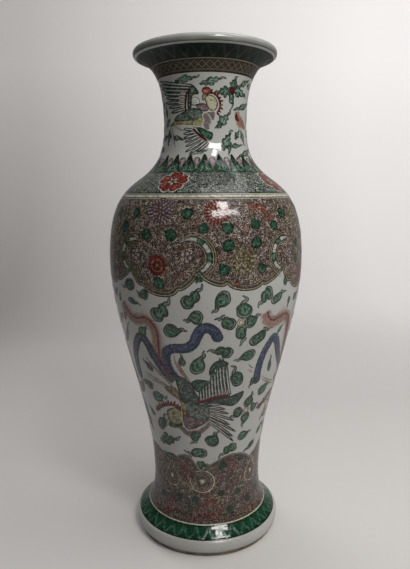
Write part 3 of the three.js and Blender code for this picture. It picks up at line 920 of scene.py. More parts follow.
# Each cloud: its kind, the pixel of its body, the pixel of its tail's tip and its width in millimetres
FIELD_CLOUDS = [
    ("pear", (144, 294.4), (137, 289.5), 10), ("slender", (132.5, 301), (141, 306), 7),
    ("pear", (130, 284.5), (123.6, 288), 10), ("slender", (120.4, 297), (119.6, 290), 6),
    ("slender", (125.3, 315), (124.4, 307), 6), ("pear", (198.8, 279.4), (196.4, 284), 7),
    ("slender", (285, 280.4), (284, 272), 7), ("slender", (288.6, 300), (287.4, 307), 6),
    ("double", (191, 300), (206.7, 289.9), 12), ("pear", (222.5, 299.5), (211.1, 313.2), 12),
    ("double", (160, 312.5), (174.5, 303.5), 14), ("pear", (196, 317.5), (182.8, 319.9), 12),
    ("pear", (171.5, 331), (187.5, 331.6), 12), ("double", (266.5, 294.5), (256, 301.5), 13),
    ("pear", (277, 298), (286, 291.5), 9),
    ("pear", (258, 337.8), (272.3, 327.8), 12), ("slender", (279.5, 329), (283.5, 322.5), 6),
    ("double", (224, 351.6), (209.5, 346.4), 11), ("pear", (248, 355), (233.5, 360.3), 10),
    ("slender", (182, 361.5), (179.7, 353.5), 8), ("pear", (197.5, 366), (204, 350), 12),
    ("pear", (237, 378.5), (234.8, 364.5), 11), ("slender", (269, 365), (270.5, 354), 7),
    ("slender", (127.5, 334), (129.5, 322), 7), ("pear", (142.5, 331), (146.5, 325), 9),
    ("slender", (149.5, 366), (142.5, 357), 8), ("pear", (158, 396.5), (168, 399), 10),
    ("double", (148.5, 383), (141, 376), 9), ("pear", (162.3, 422.6), (164.8, 412.5), 9),
    ("lobed", (168, 439.4), (181.5, 439), 12), ("pear", (195.5, 435.8), (189.8, 443), 10),
    ("pear", (212.5, 440.5), (219.3, 431), 13), ("pear", (199, 452.8), (184.6, 449.3), 11),
    ("double", (229.5, 448.6), (217, 454), 10), ("pear", (242.6, 435.2), (251, 430), 9),
    ("slender", (250, 444.5), (242.5, 453), 8), ("slender", (258.5, 428), (262.5, 418.5), 7),
    ("pear", (262.5, 388.8), (269.5, 383.3), 11), ("double", (201.5, 464.3), (208, 461.8), 9),
    ("slender", (171, 455.2), (162.5, 451), 9), ("slender", (252, 381), (249, 388.5), 7),
    ("pear", (244.7, 310.5), (248.2, 296), 14), ("pear", (251, 321.6), (261.4, 314), 11),
    ("pear", (241.2, 332), (238.9, 345.8), 11), ("pear", (228.6, 323.4), (214.6, 320.6), 12),
    ("pear", (248.4, 401.2), (252.4, 390.8), 10), ("pear", (237.6, 412), (229, 417.3), 10),
    ("pear", (252.8, 406.6), (258, 402.8), 9), ("pear", (245, 417), (242, 427.5), 9)]
NECK_CLOUDS = [
    ("lobed", (211, 81), (225.5, 77), 6.2), ("lobed", (185, 78.8), (200, 76.4), 5.6),
    ("lobed", (223, 120.5), (231, 111.2), 7.6), ("slender", (218, 125.5), (214.5, 129), 3.4),
    ("lobed", (226.5, 142), (231, 129.5), 8.4), ("slender", (229.5, 149.5), (229, 157), 4.2),
    ("lobed", (235, 146), (242.5, 145), 4.2), ("lobed", (243.5, 84), (249, 81), 4.9),
    ("lobed", (242.5, 107), (248, 103.5), 4.9), ("lobed", (242, 137), (244.5, 146), 5.6),
    ("lobed", (245.5, 153.5), (249, 148), 4.9), ("lobed", (201, 151.8), (192, 154.6), 3.4),
    ("lobed", (233.6, 84.5), (236.4, 76), 8.4), ("lobed", (225, 91.5), (214.4, 92.4), 8.4),
    ("lobed", (238.2, 92), (245.6, 96.5), 7.6), ("pear", (231.4, 98.4), (230.6, 109), 6.2),
    ("lobed", (169.5, 137), (168, 146), 5.6), ("slender", (178, 138), (186, 139), 5.6)]

# The round hearts that some clouds circle: enamel, pixel, radius and tone
FIELD_HEARTS = [("cream", (240.9, 322.4), 3.4, 0.6), ("cream", (245.8, 409.6), 3.0, 0.6)]
NECK_HEARTS = [("red", (232, 91.2), 3.0, -0.4)]
VARIANTS = 3


def cloud_drawings(enamel_name, tone, ink):
    """Some drawings of each kind, as an unsteady hand would vary them."""
    return {kind: [cloud_drawing(*shapes[k % len(shapes)], enamel_name, tone, ink) for k in range(VARIANTS)]
            for kind, shapes in CLOUDS.items()}


def cloud_drawing(body, tail, enamel_name, tone, ink):
    """A body with an uncoloured rim at its far end, a dark curl in it, and a thin wavy tail."""
    drawing = Drawing()
    body = (np.array(body) + rng.normal(0, 0.05, np.shape(body))) * CLOUD_SIZE
    tail = (np.array(tail) + rng.normal(0, 0.06, np.shape(tail))) * CLOUD_SIZE
    drawing.stroke("ink", tail, 2.5, top=0.07, tone=0.3, ends=(1.2, 0.85, 0.35))
    drawing.stroke("grey", tail, 1.4, top=0.1, tone=0.8, ends=(1.3, 0.8, 0.2))
    drawing.fill("grey", body, tone=0.85, base=0.02, thick=0.04)
    drawing.fill(enamel_name, body * (0.86, 0.88) + (0.55, 0), tone=tone, base=0.07, thick=0.07)
    drawing.stroke("ink", body, ink, top=0.17, closed=True, tone=0.35)
    drawing.stroke("ink", np.array(CURL_IN_CLOUD) * CLOUD_SIZE, 0.6, top=0.18, tone=0.5)
    drawing.stroke("green", np.array(COMMA_IN_CLOUD) * CLOUD_SIZE, 1.5, top=0.18, tone=-0.2)
    return drawing


def lay_cloud(drawing, body, tip, width, flip=1.0, swing=0.0):
    """Lays a cloud from the (turn, rise) of its body to that of its tail's tip, swung round."""
    reach = np.array([(tip[0] - body[0]) * radius_at(body[1]), tip[1] - body[1]])
    size = float(np.hypot(*reach)) / (2 * CLOUD_SIZE)
    lay(drawing, body[0] + swing, body[1], math.atan2(reach[1], reach[0]), size,
        flip * width / CLOUD_WIDTH, shade=rng.uniform(-0.15, 0.1))


def any_of(drawings):
    return drawings[int(rng.integers(VARIANTS))]


def clouds(drawings, rows, swings, gap=None):
    """Clouds in their places in the photograph and at each swing round from there, if there is room."""
    for kind, body, tip, width in rows:
        middle, end = seen([body, tip])
        for swing in swings:
            flip = 1.0 if rng.random() < 0.5 else -1.0
            spot = middle + (end - middle) * 0.4
            if gap is None or clear_of([spot[0] + swing], [spot[1]], gap)[0]:
                lay_cloud(any_of(drawings[kind]), middle, end, width, flip, swing)


def stray_clouds(drawings, kinds, low, high, gap, tries):
    """Fills what is left of the white ground with small clouds."""
    for turn, share, pick, aim in rng.random((tries, 4)):
        turn = turn * TURN
        bottom, top = level_at(low, turn), level_at(high, turn)
        rise = bottom + gap + (top - bottom - 2 * gap) * share
        if clear_of([turn], [rise], gap)[0]:
            reach = pointing(aim * TURN)[0] * (gap * rng.uniform(1.0, 1.35))
            tip = (turn + reach[0] / radius_at(rise), rise + reach[1])
            drawing = any_of(drawings[kinds[int(pick * len(kinds))]])
            lay_cloud(drawing, (turn, rise), tip, gap * rng.uniform(0.9, 1.15))


def hearts(rows, swings):
    """Round hearts, each a ring of colour with a red curl and a yellow dot in it."""
    for name, pixel, size, tone in rows:
        drawing = Drawing()
        ring = oval(size, size)
        drawing.outlined(name, ring, 0.5, tone=tone, base=0.08)
        drawing.stroke("red", ring * 0.5, 0.7, top=0.21, closed=True, tone=tone - 0.4)
        drawing.fill("yellow", ring * 0.25, base=0.12, thick=0.06, step=0.7)
        for swing in swings:
            lay_at(drawing, pixel, swing)


# Phoenixes

def feathers(drawing, middle, rows, width, fill="grey", tone=0.7, shaft=0.3, ink=0.4, edge="ink"):
    """Long feathers, each from the pixel of its root to the pixel of its tip, with a pale shaft."""
    for root, tip in rows:
        a, b = flat([root, tip], middle)
        b = a + (b - a) * rng.uniform(0.86, 1.08)
        side = np.array([-(b - a)[1], (b - a)[0]]) * 0.02
        line = smooth([a, a + (b - a) * 0.35 + side, a + (b - a) * 0.7 + side, b])
        swell = np.interp(np.linspace(0, 1, len(line)), (0, 0.2, 0.7, 0.92, 1), (0.7, 0.9, 1, 0.6, 0.05))
        reach = across_line(line) * (width / 2 * swell)[:, None]
        outline = np.vstack([line + reach, (line - reach)[::-1]])
        drawing.fill(fill, outline, base=0.04, thick=0.05, tone=tone)
        drawing.stroke(edge, outline, ink, top=0.14, closed=True, tone=0.55 if edge == "ink" else -0.1)
        drawing.stroke("pale", line[: max(4, int(len(line) * 0.85))], width * shaft, top=0.18, tone=0.7,
                       ends=(1, 1, 0.3), smoothed=False)
        drawing.stroke("grey", beside(line, 0.25 * width), 0.5, top=0.17, tone=-0.2)


def scales(drawing, outline, gap=2.4, name="ink", tone=0.5):
    """Rows of small arcs, as on a bird's breast, inside a flat outline."""
    edge = smooth(outline, True)
    low, high = edge.min(0), edge.max(0)
    xs, ys = np.meshgrid(np.arange(low[0], high[0], gap), np.arange(low[1], high[1], gap * 0.8))
    xs[::2] += gap / 2
    spots = np.stack([xs.ravel(), ys.ravel()], 1)
    spots = spots[within(spots, edge)]
    spots = spots[gap_between(spots, edge) > gap * 0.4]
    for spot in spots:
        arc = spot + ellipse_arc((0, 0), gap * 0.45, gap * 0.5, math.pi * 1.05, math.pi * 1.95, 4)
        drawing.stroke(name, arc, 0.42, top=0.18, tone=tone, step=0.6)


def streaks(drawing, outline, slope, gap, name, tone, width):
    """Fine parallel strokes at a slope, in degrees, inside a flat outline."""
    edge = smooth(outline, True)
    along, aside = pointing(math.radians(slope))
    runs = np.arange((edge @ along).min(), (edge @ along).max(), 0.9)
    for offset in np.arange((edge @ aside).min() + gap / 2, (edge @ aside).max(), gap):
        line = runs[:, None] * along + offset * aside
        inside = within(line, edge) & (gap_between(line, edge) > 0.5)
        line = line[inside]
        if len(line) > 3:
            drawing.stroke(name, line[rng.integers(0, 2):], width, top=0.18, tone=tone, ends=(0.4, 1, 0.3),
                           smoothed=False)


def crest(drawing, base, spike, width=2.8, spread=2.6):
    """A red comb: a thick line with spikes standing off one side."""
    drawing.stroke("red", base, width, top=0.16, tone=-0.1, ends=(0.7, 1, 0.6))
    line = smooth(base, step=spread)
    along = np.gradient(line, axis=0)
    for k, (point, way, ahead) in enumerate(zip(line, across_line(line), along)):
        tip = point + way * spike * (0.85 + 0.3 * (k % 2)) + ahead * 0.25
        drawing.stroke("red", [point, (point + tip) / 2 - ahead * 0.05, tip], width, top=0.18, tone=-0.1,
                       ends=(1, 0.85, 0.3), step=0.8)


def barbs(drawing, path, start, length, name, tone, gap, width=0.6, lean=0.6):
    """Short strokes slanting off both sides of a line, from a distance that they start at."""
    line = smooth(path, step=gap)
    along = np.gradient(line, axis=0)
    along /= np.linalg.norm(along, axis=1)[:, None]
    out = across_line(line)
    for point, ahead, way in zip(line, along, out):
        for side in (-1, 1):
            root = point + way * side * start + ahead * rng.uniform(-0.4, 0.4) * gap
            reach = length * rng.uniform(0.5, 1.25)
            tip = root + way * side * reach + ahead * reach * lean
            uneven = tone + rng.uniform(-0.3, 0.3)
            drawing.stroke(name, [root, (root + tip) / 2, tip], width, top=0.16, tone=uneven,
                           ends=(1, 0.8, 0.3), step=0.7)


def blue_tail(drawing, path, width):
    """A waving blue tail feather: uneven streaks, a fringe, and white dots round its dark end."""
    drawing.stroke("blue", path, width, top=0.09, tone=0.35, ends=(0.75, 1, 1.15), across=7)
    for share in np.linspace(-0.38, 0.38, 6):
        drawing.stroke("blue", beside(path, share * width), width * 0.13, top=0.13,
                       tone=rng.uniform(-0.4, 0.8), ends=(0.5, 1, 0.5), smoothed=False)
    barbs(drawing, path, width * 0.1, width * 0.45, "blue", 0.0, 1.7, 0.6, 0.5)
    barbs(drawing, path, width * 0.42, 1.5, "blue", -0.1, 1.4, 0.6, 1.2)
    barbs(drawing, path, width * 0.36, 1.6, "ink", 0.6, 3.4, 0.5, 1.0)
    end = smooth(path)[-1]
    bulb = end + oval(width * 0.56, width * 0.5)
    drawing.fill("blue", bulb, tone=0.0, base=0.1)
    for spot in (bulb[::2] - end) * 0.74 + end:
        drawing.fill("pale", spot + oval(0.42, 0.42, 6), base=0.16, thick=0.04, tone=0.8, step=0.6)


def red_tail(drawing, path, width, side=1.0):
    """A tail feather in soft iron red: a dark spine on one side of a hairy wash that fades to nothing."""
    wash = beside(path, side * width * 0.16)
    drawing.stroke("wash", wash, width, top=0.06, tone=0.15, ends=(0.9, 1, 0.6), across=9, fade=1.3,
                   smoothed=False)
    drawing.stroke("red", path, 1.5, top=0.15, tone=-0.15, ends=(0.8, 1, 0.7))
    barbs(drawing, path, 0.5, width * 0.4, "wash", 0.0, 1.3, 0.35, 0.9)


PHOENIX_MIDDLE = (190, 400)
PHOENIX_TURNS = np.radians([0, 95, 190, 275])
RED_TAIL = [(123.5, 301), (126, 307), (129.5, 312), (134, 316.5), (139, 318), (144, 317), (149.5, 320),
            (154, 325.5), (157.3, 333), (158.6, 343), (159.4, 354), (162, 365), (167, 373), (173, 379)]
BLUE_TAILS = [[(176.4, 379.2), (169, 368), (166, 357), (167.4, 350.4), (174.6, 348.4), (185, 348.4),
               (192.8, 344.5), (196.6, 336.6), (201.4, 329.6), (208.9, 328.4), (214.8, 332.4),
               (217.6, 337.6)],
              [(174.5, 380.8), (164.4, 370.6), (154.2, 356), (147.2, 342.8), (141, 336.4),
               (137.4, 341), (135.8, 351), (137.2, 362.1), (140.4, 373.9)]]
TAIL_STRANDS = [("red", [(174, 354.6), (176, 364), (181.7, 374.7)], 1.0, 0.2),
                ("wash", [(177.4, 362), (182, 371), (188.3, 381.5)], 3.2, 0.2),
                ("red", [(180.4, 366), (184, 373), (190.3, 380.5)], 0.8, 0.2),
                ("aubergine", [(146, 357), (156, 369), (165.5, 378.5), (174, 388)], 3.0, 0.3),
                ("pale", [(146, 357), (156, 369), (165.5, 378.5), (174, 388)], 2.0, 0.6),
                ("yellow", [(146.5, 372), (157, 379), (171, 387.5)], 2.2, 0.3),
                ("ink", [(145.6, 374.4), (157, 381), (170, 388.5)], 0.5, 0.5),
                ("red", [(152, 379.5), (165, 386), (181.5, 401.5)], 0.8, 0.3)]
BACK = [(175.6, 376.4), (183, 377.4), (189.6, 381.6), (195, 391.7), (199.2, 398.4), (198.2, 404.4),
        (190.4, 403.5), (182.8, 400.5), (178.4, 389.3)]
SADDLE = [(184.4, 402.6), (192, 402.7), (200, 404.7), (207.7, 404.8), (209.4, 410.1), (208.9, 417.6),
          (202.4, 419.7), (193.7, 418.6), (186.5, 412.2)]
BREAST = [(183, 415.6), (193.7, 416.5), (203, 418.2), (208.7, 417.6), (208.2, 421.5), (196.9, 427.6),
          (189.4, 429.6), (184.5, 425.2)]
BREAST_LINE = [(180.8, 402.5), (182, 410.2), (182.4, 419), (184.6, 426.4), (189.2, 429.8), (196.9, 428.2),
               (208.7, 421.3)]
BREAST_SHADES = [([(177, 425), (182.5, 428), (188, 433), (197, 433), (207.5, 426.5)], 7.5),
                 ([(204, 429), (208, 425), (208.5, 420)], 5.0)]
NAPE = [(180, 399.5), (185.5, 402.5), (188, 409), (186.5, 416), (183, 413.5), (181.6, 405.5)]
SHOULDER_LOBE = [(191.6, 383), (196, 380), (202.2, 380), (208.8, 382), (203.9, 387.3), (199, 391.7),
                 (194.6, 389)]
HEAD = [(167.4, 411), (171.5, 408.2), (177, 407.8), (182, 412), (184, 418.5), (181.5, 423.6), (175.5, 424),
        (169.5, 420)]
EYE = [(172, 413), (173.8, 412.2), (175.4, 413.4), (173.6, 414.4)]
BEAK = [(169.5, 417.5), (171.8, 420.4), (168.8, 424), (165.4, 426.4), (166.4, 421)]
WATTLE = [(170.5, 422), (176, 423), (182, 421.4), (182.6, 425.2), (176, 427.5), (169.8, 425.6)]
CREST = [(158, 410.6), (161.5, 406.8), (166.6, 404.9), (173, 405), (179.4, 408.4), (185.6, 414.4)]
YELLOW_LEAF = [(164.8, 387.2), (170.5, 386.2), (176.5, 389), (181.4, 400.4), (174.5, 396.4), (168.5, 391.6)]
WING_EDGE = [(197.5, 407.2), (207, 402.6), (218, 398.6), (229.5, 396.4), (237.1, 393.6), (243.3, 391.4),
             (240.2, 398.4), (232.6, 405.2), (221.9, 404.4), (212.2, 405.2), (203, 409.4)]
WING_BAR = [(195.6, 403), (203.4, 401), (211.1, 398.6), (219.7, 396.4), (229.5, 395.4)]
UP_FEATHERS = [((201.2, 399), (200.4, 387.4)), ((204, 398.2), (203.6, 385)),
               ((206.8, 397.6), (206.3, 382.4)), ((209.8, 397), (209.2, 378.6)),
               ((213, 396.4), (212, 373.5)), ((216.2, 395.9), (214.8, 369)),
               ((219.4, 395.4), (217.6, 364.5)), ((222.8, 394.8), (220, 359)),
               ((226.2, 394.3), (222.8, 355)), ((229.7, 394), (226.4, 361))]
TOP_FEATHER = [(209.4, 374.6), (210.3, 368), (214.8, 362.4), (221.6, 360.4), (228.6, 363.6), (222.8, 366.4),
               (216.2, 367.8), (212.4, 374)]
LOW_FEATHERS = [((208.4, 404.4), (223.5, 404.2)), ((208.8, 407), (226.4, 409.2)),
                ((209.2, 409.8), (230, 413.8)), ((209.4, 412.6), (232.4, 420)),
                ((209.2, 415.2), (231.5, 425.6)), ((209, 417.8), (234.4, 431)),
                ((208.8, 420.4), (232, 436)), ((210, 423), (234.4, 442))]

# What the next bird shows at the right-hand side
RIGHT_MIDDLE = (268, 340)
RIGHT_HOOK = [(267.6, 311), (268.8, 317), (272.6, 320), (277.8, 317.6), (283, 314.2), (287, 313.6),
              (288.6, 320), (286.8, 331), (283.8, 345), (280, 362), (276.5, 376)]
RIGHT_BLUE = [(277.6, 368), (277.6, 352), (276.6, 341), (273.8, 336.6), (269.6, 342), (264.6, 351),
              (260.4, 361), (257.6, 372), (256.4, 380)]
RIGHT_STRANDS = [("ink", [(248, 363.5), (250.5, 366.5), (253.6, 368)], 0.8, 0.4),
                 ("aubergine", [(247, 370), (250, 370.6), (252.5, 372.6)], 2.2, 0.9),
                 ("red", [(261, 375.5), (267, 378.5), (274, 380.5)], 0.8, 0.4),
                 ("yellow", [(261.5, 377.5), (267, 380), (273, 384)], 1.6, 0.6),
                 ("ink", [(262, 379.5), (268, 382.5)], 0.6, 0.5),
                 ("red", [(262.6, 401.6), (266.4, 396.4), (271, 389.6)], 1.5, 0.2),
                 ("wash", [(265, 400), (266.5, 406), (263.6, 413)], 5.0, 0.75)]
RIGHT_CREST = [(256.4, 408), (258.6, 405), (262.4, 402.6), (266.6, 399.6)]


def strands(drawing, rows, middle):
    """Brush strokes, each laid over the one before it."""
    for k, (name, path, width, tone) in enumerate(rows):
        drawing.stroke(name, flat(path, middle), width, top=0.16 + 0.005 * k, tone=tone)


def parts(drawing, rows, middle):
    """Outlined parts, each laid over the one before it, with the fine lines drawn into it."""
    for name, pixels, ink, tone, base, fine in rows:
        outline = flat(pixels, middle)
        drawing.outlined(name, outline, ink, tone=tone, base=base)
        for draw, *how in fine:
            draw(drawing, outline, *how)


# Enamel, outline, width of the dark line, tone, height, and the fine lines with their measures
BODY_PARTS = [("green", TOP_FEATHER, 0.7, 0.15, 0.1, [(streaks, 25, 1.5, "ink", 0.4, 0.5)]),
              ("grey", WING_EDGE, 1.0, 0.0, 0.07, [(streaks, 35, 1.8, "green", 0.7, 0.6)]),
              ("grey", BACK, 0.7, 0.15, 0.07, [(scales, 2.6, "green", -0.2)]),
              ("grey", SADDLE, 0.6, 0.35, 0.06, [(streaks, -55, 1.4, "ink", 0.5, 0.5),
                                                 (streaks, -55, 2.6, "pale", 0.3, 0.5)]),
              ("aubergine", BREAST, 0.6, 0.1, 0.06, [(scales, 2.2)]),
              ("yellow", NAPE, 0.5, 0.1, 0.08, [(streaks, 70, 1.6, "red", -0.1, 0.7)]),
              ("green", SHOULDER_LOBE, 0.8, 0.2, 0.08, [(streaks, -30, 1.8, "green", -0.4, 0.7)]),
              ("yellow", YELLOW_LEAF, 0.6, 0.1, 0.02, [(streaks, -40, 1.5, "red", 0.0, 0.5)]),
              ("green", WATTLE, 0.5, 0.15, 0.02, []),
              ("yellow", BEAK, 0.5, 0.4, 0.02, []),
              ("yellow", HEAD, 0.7, 0.2, 0.06, [(scales, 2.4, "green", 0.0)])]


def phoenix_tails():
    drawing = Drawing()
    place = partial(flat, middle=PHOENIX_MIDDLE)
    red_tail(drawing, place(RED_TAIL), 13.0, -1.0)
    for path in BLUE_TAILS:
        blue_tail(drawing, place(path), 8.4)
    strands(drawing, TAIL_STRANDS, PHOENIX_MIDDLE)
    return drawing


def phoenix_body():
    drawing = Drawing()
    place = partial(flat, middle=PHOENIX_MIDDLE)
    for path, width in BREAST_SHADES:
        drawing.stroke("shade", place(path), width, top=0.06, tone=0.0, ends=(0.7, 1, 0.6), across=7,
                       fade=1.2)
    feathers(drawing, PHOENIX_MIDDLE, UP_FEATHERS, 2.8, tone=0.75, shaft=0.28, ink=0.45, edge="grey")
    feathers(drawing, PHOENIX_MIDDLE, LOW_FEATHERS[::2], 2.7, tone=0.35, edge="red")
    feathers(drawing, PHOENIX_MIDDLE, LOW_FEATHERS[1::2], 2.7, tone=0.35)
    parts(drawing, BODY_PARTS, PHOENIX_MIDDLE)
    drawing.stroke("cream", place(BREAST_LINE), 1.1, top=0.21, tone=0.45, ends=(0.7, 1, 0.7))
    drawing.stroke("ink", place(EYE), 0.9, top=0.2)
    crest(drawing, place(CREST), 4.6)
    bar = place(WING_BAR)
    drawing.stroke("red", bar, 3.2, top=0.17, tone=-0.8, ends=(0.8, 1, 0.8))
    drawing.stroke("ink", bar + (0, -1.7), 0.8, top=0.18)
    for point in smooth(bar, step=2.3):
        tick = point + ((0, 0.4), (0.1, 1.5), (0.2, 2.6))
        drawing.stroke("red", tick, 1.4, top=0.2, tone=0.15)
    return drawing


def right_side():
    """The hooked red tail, the bent blue one and the brush marks at the right edge of the photograph."""
    drawing = Drawing()
    place = partial(flat, middle=RIGHT_MIDDLE)
    red_tail(drawing, place(RIGHT_HOOK), 15.0, -1.0)
    blue_tail(drawing, place(RIGHT_BLUE), 7.4)
    strands(drawing, RIGHT_STRANDS, RIGHT_MIDDLE)
    crest(drawing, place(RIGHT_CREST), 2.8, 1.7, 2.4)
    return drawing


NECK_MIDDLE_PIXEL = (200, 115)
NECK_CAP = [(189.6, 84.4), (193.6, 86), (197.4, 90.4), (198.4, 93.6), (194.6, 94.2), (192, 96.6),
            (191.4, 102), (191.2, 107.6), (188.4, 108), (188, 99), (189, 91)]
NECK_WING_BAR = [(189.6, 88.6), (186.9, 94.1), (185.7, 101.3), (185.4, 106.9), (186, 111.4)]
NECK_UP_FEATHERS = [((191, 85.4), (160.4, 81.6)), ((189.5, 88), (160, 85.4)), ((187.6, 91), (161.6, 89.4)),
                    ((186.6, 94.4), (163.4, 93.8)), ((185.7, 97.8), (165, 98.4)),
                    ((185.4, 101.4), (166, 103.2)), ((185.4, 105), (168, 108)),
                    ((185.6, 108.6), (171.4, 112.8))]
NECK_WHITE_TIPS = [((185.8, 93), (178, 92.6)), ((185, 96.3), (177.4, 96.4)), ((184.8, 99.7), (177.6, 100.2)),
                   ((184.6, 103.2), (178, 104)), ((184.6, 106.8), (179, 108))]
NECK_BODY = [(182, 112.6), (188.5, 109), (196, 108), (202.6, 112), (203, 117), (196.6, 120.6), (186, 121.4),
             (174.5, 121), (176.6, 116)]
NECK_BELLY = [(170.8, 126.6), (175.8, 121.4), (186, 119.8), (196, 118.4), (203, 115), (204, 119.6),
              (202.6, 124.8), (197.4, 127.6), (189, 125.6), (180, 124.6)]
NECK_BREAST_LINE = [(214.6, 110.9), (208.3, 111.7), (203.6, 113), (202.8, 116.4), (203.8, 121),
                    (200.2, 126.4), (192.9, 126), (180, 125), (171.2, 127.2)]
NECK_HEAD = [(205, 97.5), (208.4, 95), (213.8, 97), (217.2, 102.4), (216.4, 108), (212, 110.6),
             (207.8, 106.8), (206, 102)]
NECK_BEAK = [(207.6, 95), (205.4, 98.8), (202.8, 100), (202.4, 95.8), (204.6, 94.2)]
NECK_FACE = [(191.8, 99), (196, 97), (199.6, 100.5), (199, 104), (194.6, 105.4), (191.6, 104)]
NECK_CHEEK = [(196, 105.4), (200, 103.6), (205, 104), (208.4, 109), (206.4, 111), (201, 110.6)]
NECK_CREST = [(208.3, 93.2), (213.2, 93.2), (217.4, 96.8), (220, 102.6), (219.4, 108.6), (217, 112.9)]
NECK_SHADES = [([(205, 113.5), (207, 119), (206.5, 125), (208.5, 129.5)], 8.5),
               ([(207.5, 112.5), (212, 114), (213, 120)], 5.5)]
NECK_LOW_WING = [(196.6, 127.4), (202.5, 128.4), (207.6, 131), (212.2, 133.2), (212, 137.8), (208.8, 140.2),
                 (203.8, 136.8), (199, 131.6)]
NECK_LOW_BAR = [(193.4, 128.6), (197.8, 133.6), (202.4, 137.4), (207.6, 140.8)]
NECK_LOW_FEATHERS = [((192.6, 129.8), (184.6, 129)), ((194, 132), (184, 133.8)),
                     ((196.2, 134.2), (184.4, 138)), ((198.6, 136.2), (184.2, 142.6)),
                     ((201, 138.2), (184, 147.6)), ((203.8, 140), (185.4, 152)),
                     ((206.4, 141.6), (190.4, 153.2)), ((208.6, 142.6), (197, 151.6))]
NECK_STRANDS = [("red", [(172.2, 127.6), (173.8, 137), (175.6, 148)], 1.0, 0.1),
                ("ink", [(170.8, 127), (171.8, 136), (173.4, 144)], 0.6, 0.5),
                ("yellow", [(175, 125.8), (180, 129.4), (184, 130.6)], 1.5, 0.4)]
NECK_EYE = [(209.8, 100.6), (211.2, 99.8), (212.4, 101)]
NECK_BALL = (206.4, 90.6)
FLAME = [(237, 111.6), (237.4, 116.4), (239, 121), (242, 124.6), (244.6, 128.6)]
FLAME_HEART = [(236.2, 113.6), (236.2, 117.4), (238.8, 121)]

# The parts that the scaled body lies over, and those that lie over it
NECK_UNDER_PARTS = [("grey", NECK_CAP, 0.8, 0.2, 0.08, []),
                    ("pale", NECK_FACE, 0.5, 0.9, 0.03, [(scales, 2.0, "ink", 0.2)]),
                    ("aubergine", NECK_CHEEK, 0.4, 0.35, 0.04, [(scales, 1.8)]),
                    ("yellow", NECK_BELLY, 0.6, 0.25, 0.05, [])]
NECK_OVER_PARTS = [("green", NECK_LOW_WING, 0.7, 0.4, 0.06, []),
                   ("yellow", NECK_BEAK, 0.6, 0.3, 0.05, []),
                   ("yellow", NECK_HEAD, 0.7, 0.75, 0.07, [(streaks, 60, 2.2, "green", 0.3, 0.4)])]


def neck_phoenix():
    drawing = Drawing()
    place = partial(flat, middle=NECK_MIDDLE_PIXEL)
    for path, width in NECK_SHADES:
        drawing.stroke("shade", place(path), width, top=0.06, tone=0.1, ends=(0.35, 1, 0.3), across=7,
                       fade=1.1)
    feathers(drawing, NECK_MIDDLE_PIXEL, NECK_UP_FEATHERS, 2.9, tone=0.75, shaft=0.25, edge="grey")
    feathers(drawing, NECK_MIDDLE_PIXEL, NECK_WHITE_TIPS, 2.4, "pale", 0.7, 0.4, edge="red")
    feathers(drawing, NECK_MIDDLE_PIXEL, NECK_LOW_FEATHERS, 2.5, tone=0.7, shaft=0.4, edge="grey")
    parts(drawing, NECK_UNDER_PARTS, NECK_MIDDLE_PIXEL)
    drawing.fill("grey", place(NECK_BODY), tone=0.35, base=0.07)
    scales(drawing, place(NECK_BODY), 2.0)
    scales(drawing, place(NECK_BELLY), 2.6, "green", 0.1)
    parts(drawing, NECK_OVER_PARTS, NECK_MIDDLE_PIXEL)
    drawing.stroke("ink", place(NECK_EYE), 1.0, top=0.22)
    drawing.stroke("cream", place(NECK_BREAST_LINE), 1.0, top=0.21, tone=0.7, ends=(0.7, 1, 0.5))
    drawing.outlined("red", place([NECK_BALL])[0] + oval(3.7, 2.9), 0.6, tone=0.3, base=0.06)
    crest(drawing, place(NECK_CREST), 3.0, 1.9, 2.6)
    for path in (NECK_WING_BAR, NECK_LOW_BAR):
        drawing.stroke("red", place(path), 2.2, top=0.19, tone=-0.8, ends=(0.8, 1, 0.8))
    strands(drawing, NECK_STRANDS, NECK_MIDDLE_PIXEL)
    drawing.stroke("wash", place(FLAME), 13.0, top=0.06, tone=0.0, ends=(0.5, 1, 0.3), across=9, fade=1.3)
    drawing.stroke("red", place(FLAME_HEART), 4.4, top=0.12, tone=-0.1)
    return drawing


# Flowers and leaves

def ring_of_petals(drawing, name, count, near, far, width, tone, base, ink=0.0, twist=0.0):
    """Petals from the near radius to the far one, turned by the share of a petal that twist gives."""
    inner, outer = near + 0.3 * (far - near), near + 0.75 * (far - near)
    for k in range(count):
        way, side = pointing((k + twist) * TURN / count)
        side = side * width / 2
        outline = [way * near, way * inner + side, way * outer + side, way * far, way * outer - side,
                   way * inner - side]
        drawing.fill(name, outline, base=base, thick=0.06, tone=tone, step=min(1.0, width / 2.2))
        if ink:
            drawing.stroke("ink", outline, ink, top=base + 0.08, closed=True)


def disc(drawing, name, radius, base, thick=0.06, tone=0.5, ink=0.0):
    ring = oval(radius, radius)
    drawing.fill(name, ring, base=base, thick=thick, tone=tone, step=max(0.6, min(1.0, radius / 2)))
    if ink:
        drawing.stroke("ink", ring, ink, top=base + thick + 0.02, closed=True)


def chrysanthemum(petals, ground, heart, tone=0.8):
    """Four rings of short rounded petals round a small heart, about 10 mm in radius."""
    drawing = Drawing()
    disc(drawing, ground, 10.4, 0.04, 0.01, tone=-0.35)
    for count, near, twist in ((22, 8.1, 0.0), (17, 5.9, 0.5), (11, 3.7, 0.0), (6, 1.6, 0.5)):
        ring_of_petals(drawing, petals, count, near, near + 2.3, 1.55, tone + rng.uniform(-0.1, 0.1), 0.07,
                       twist=twist)
    disc(drawing, heart, 1.4, 0.1, tone=0.3)
    return drawing


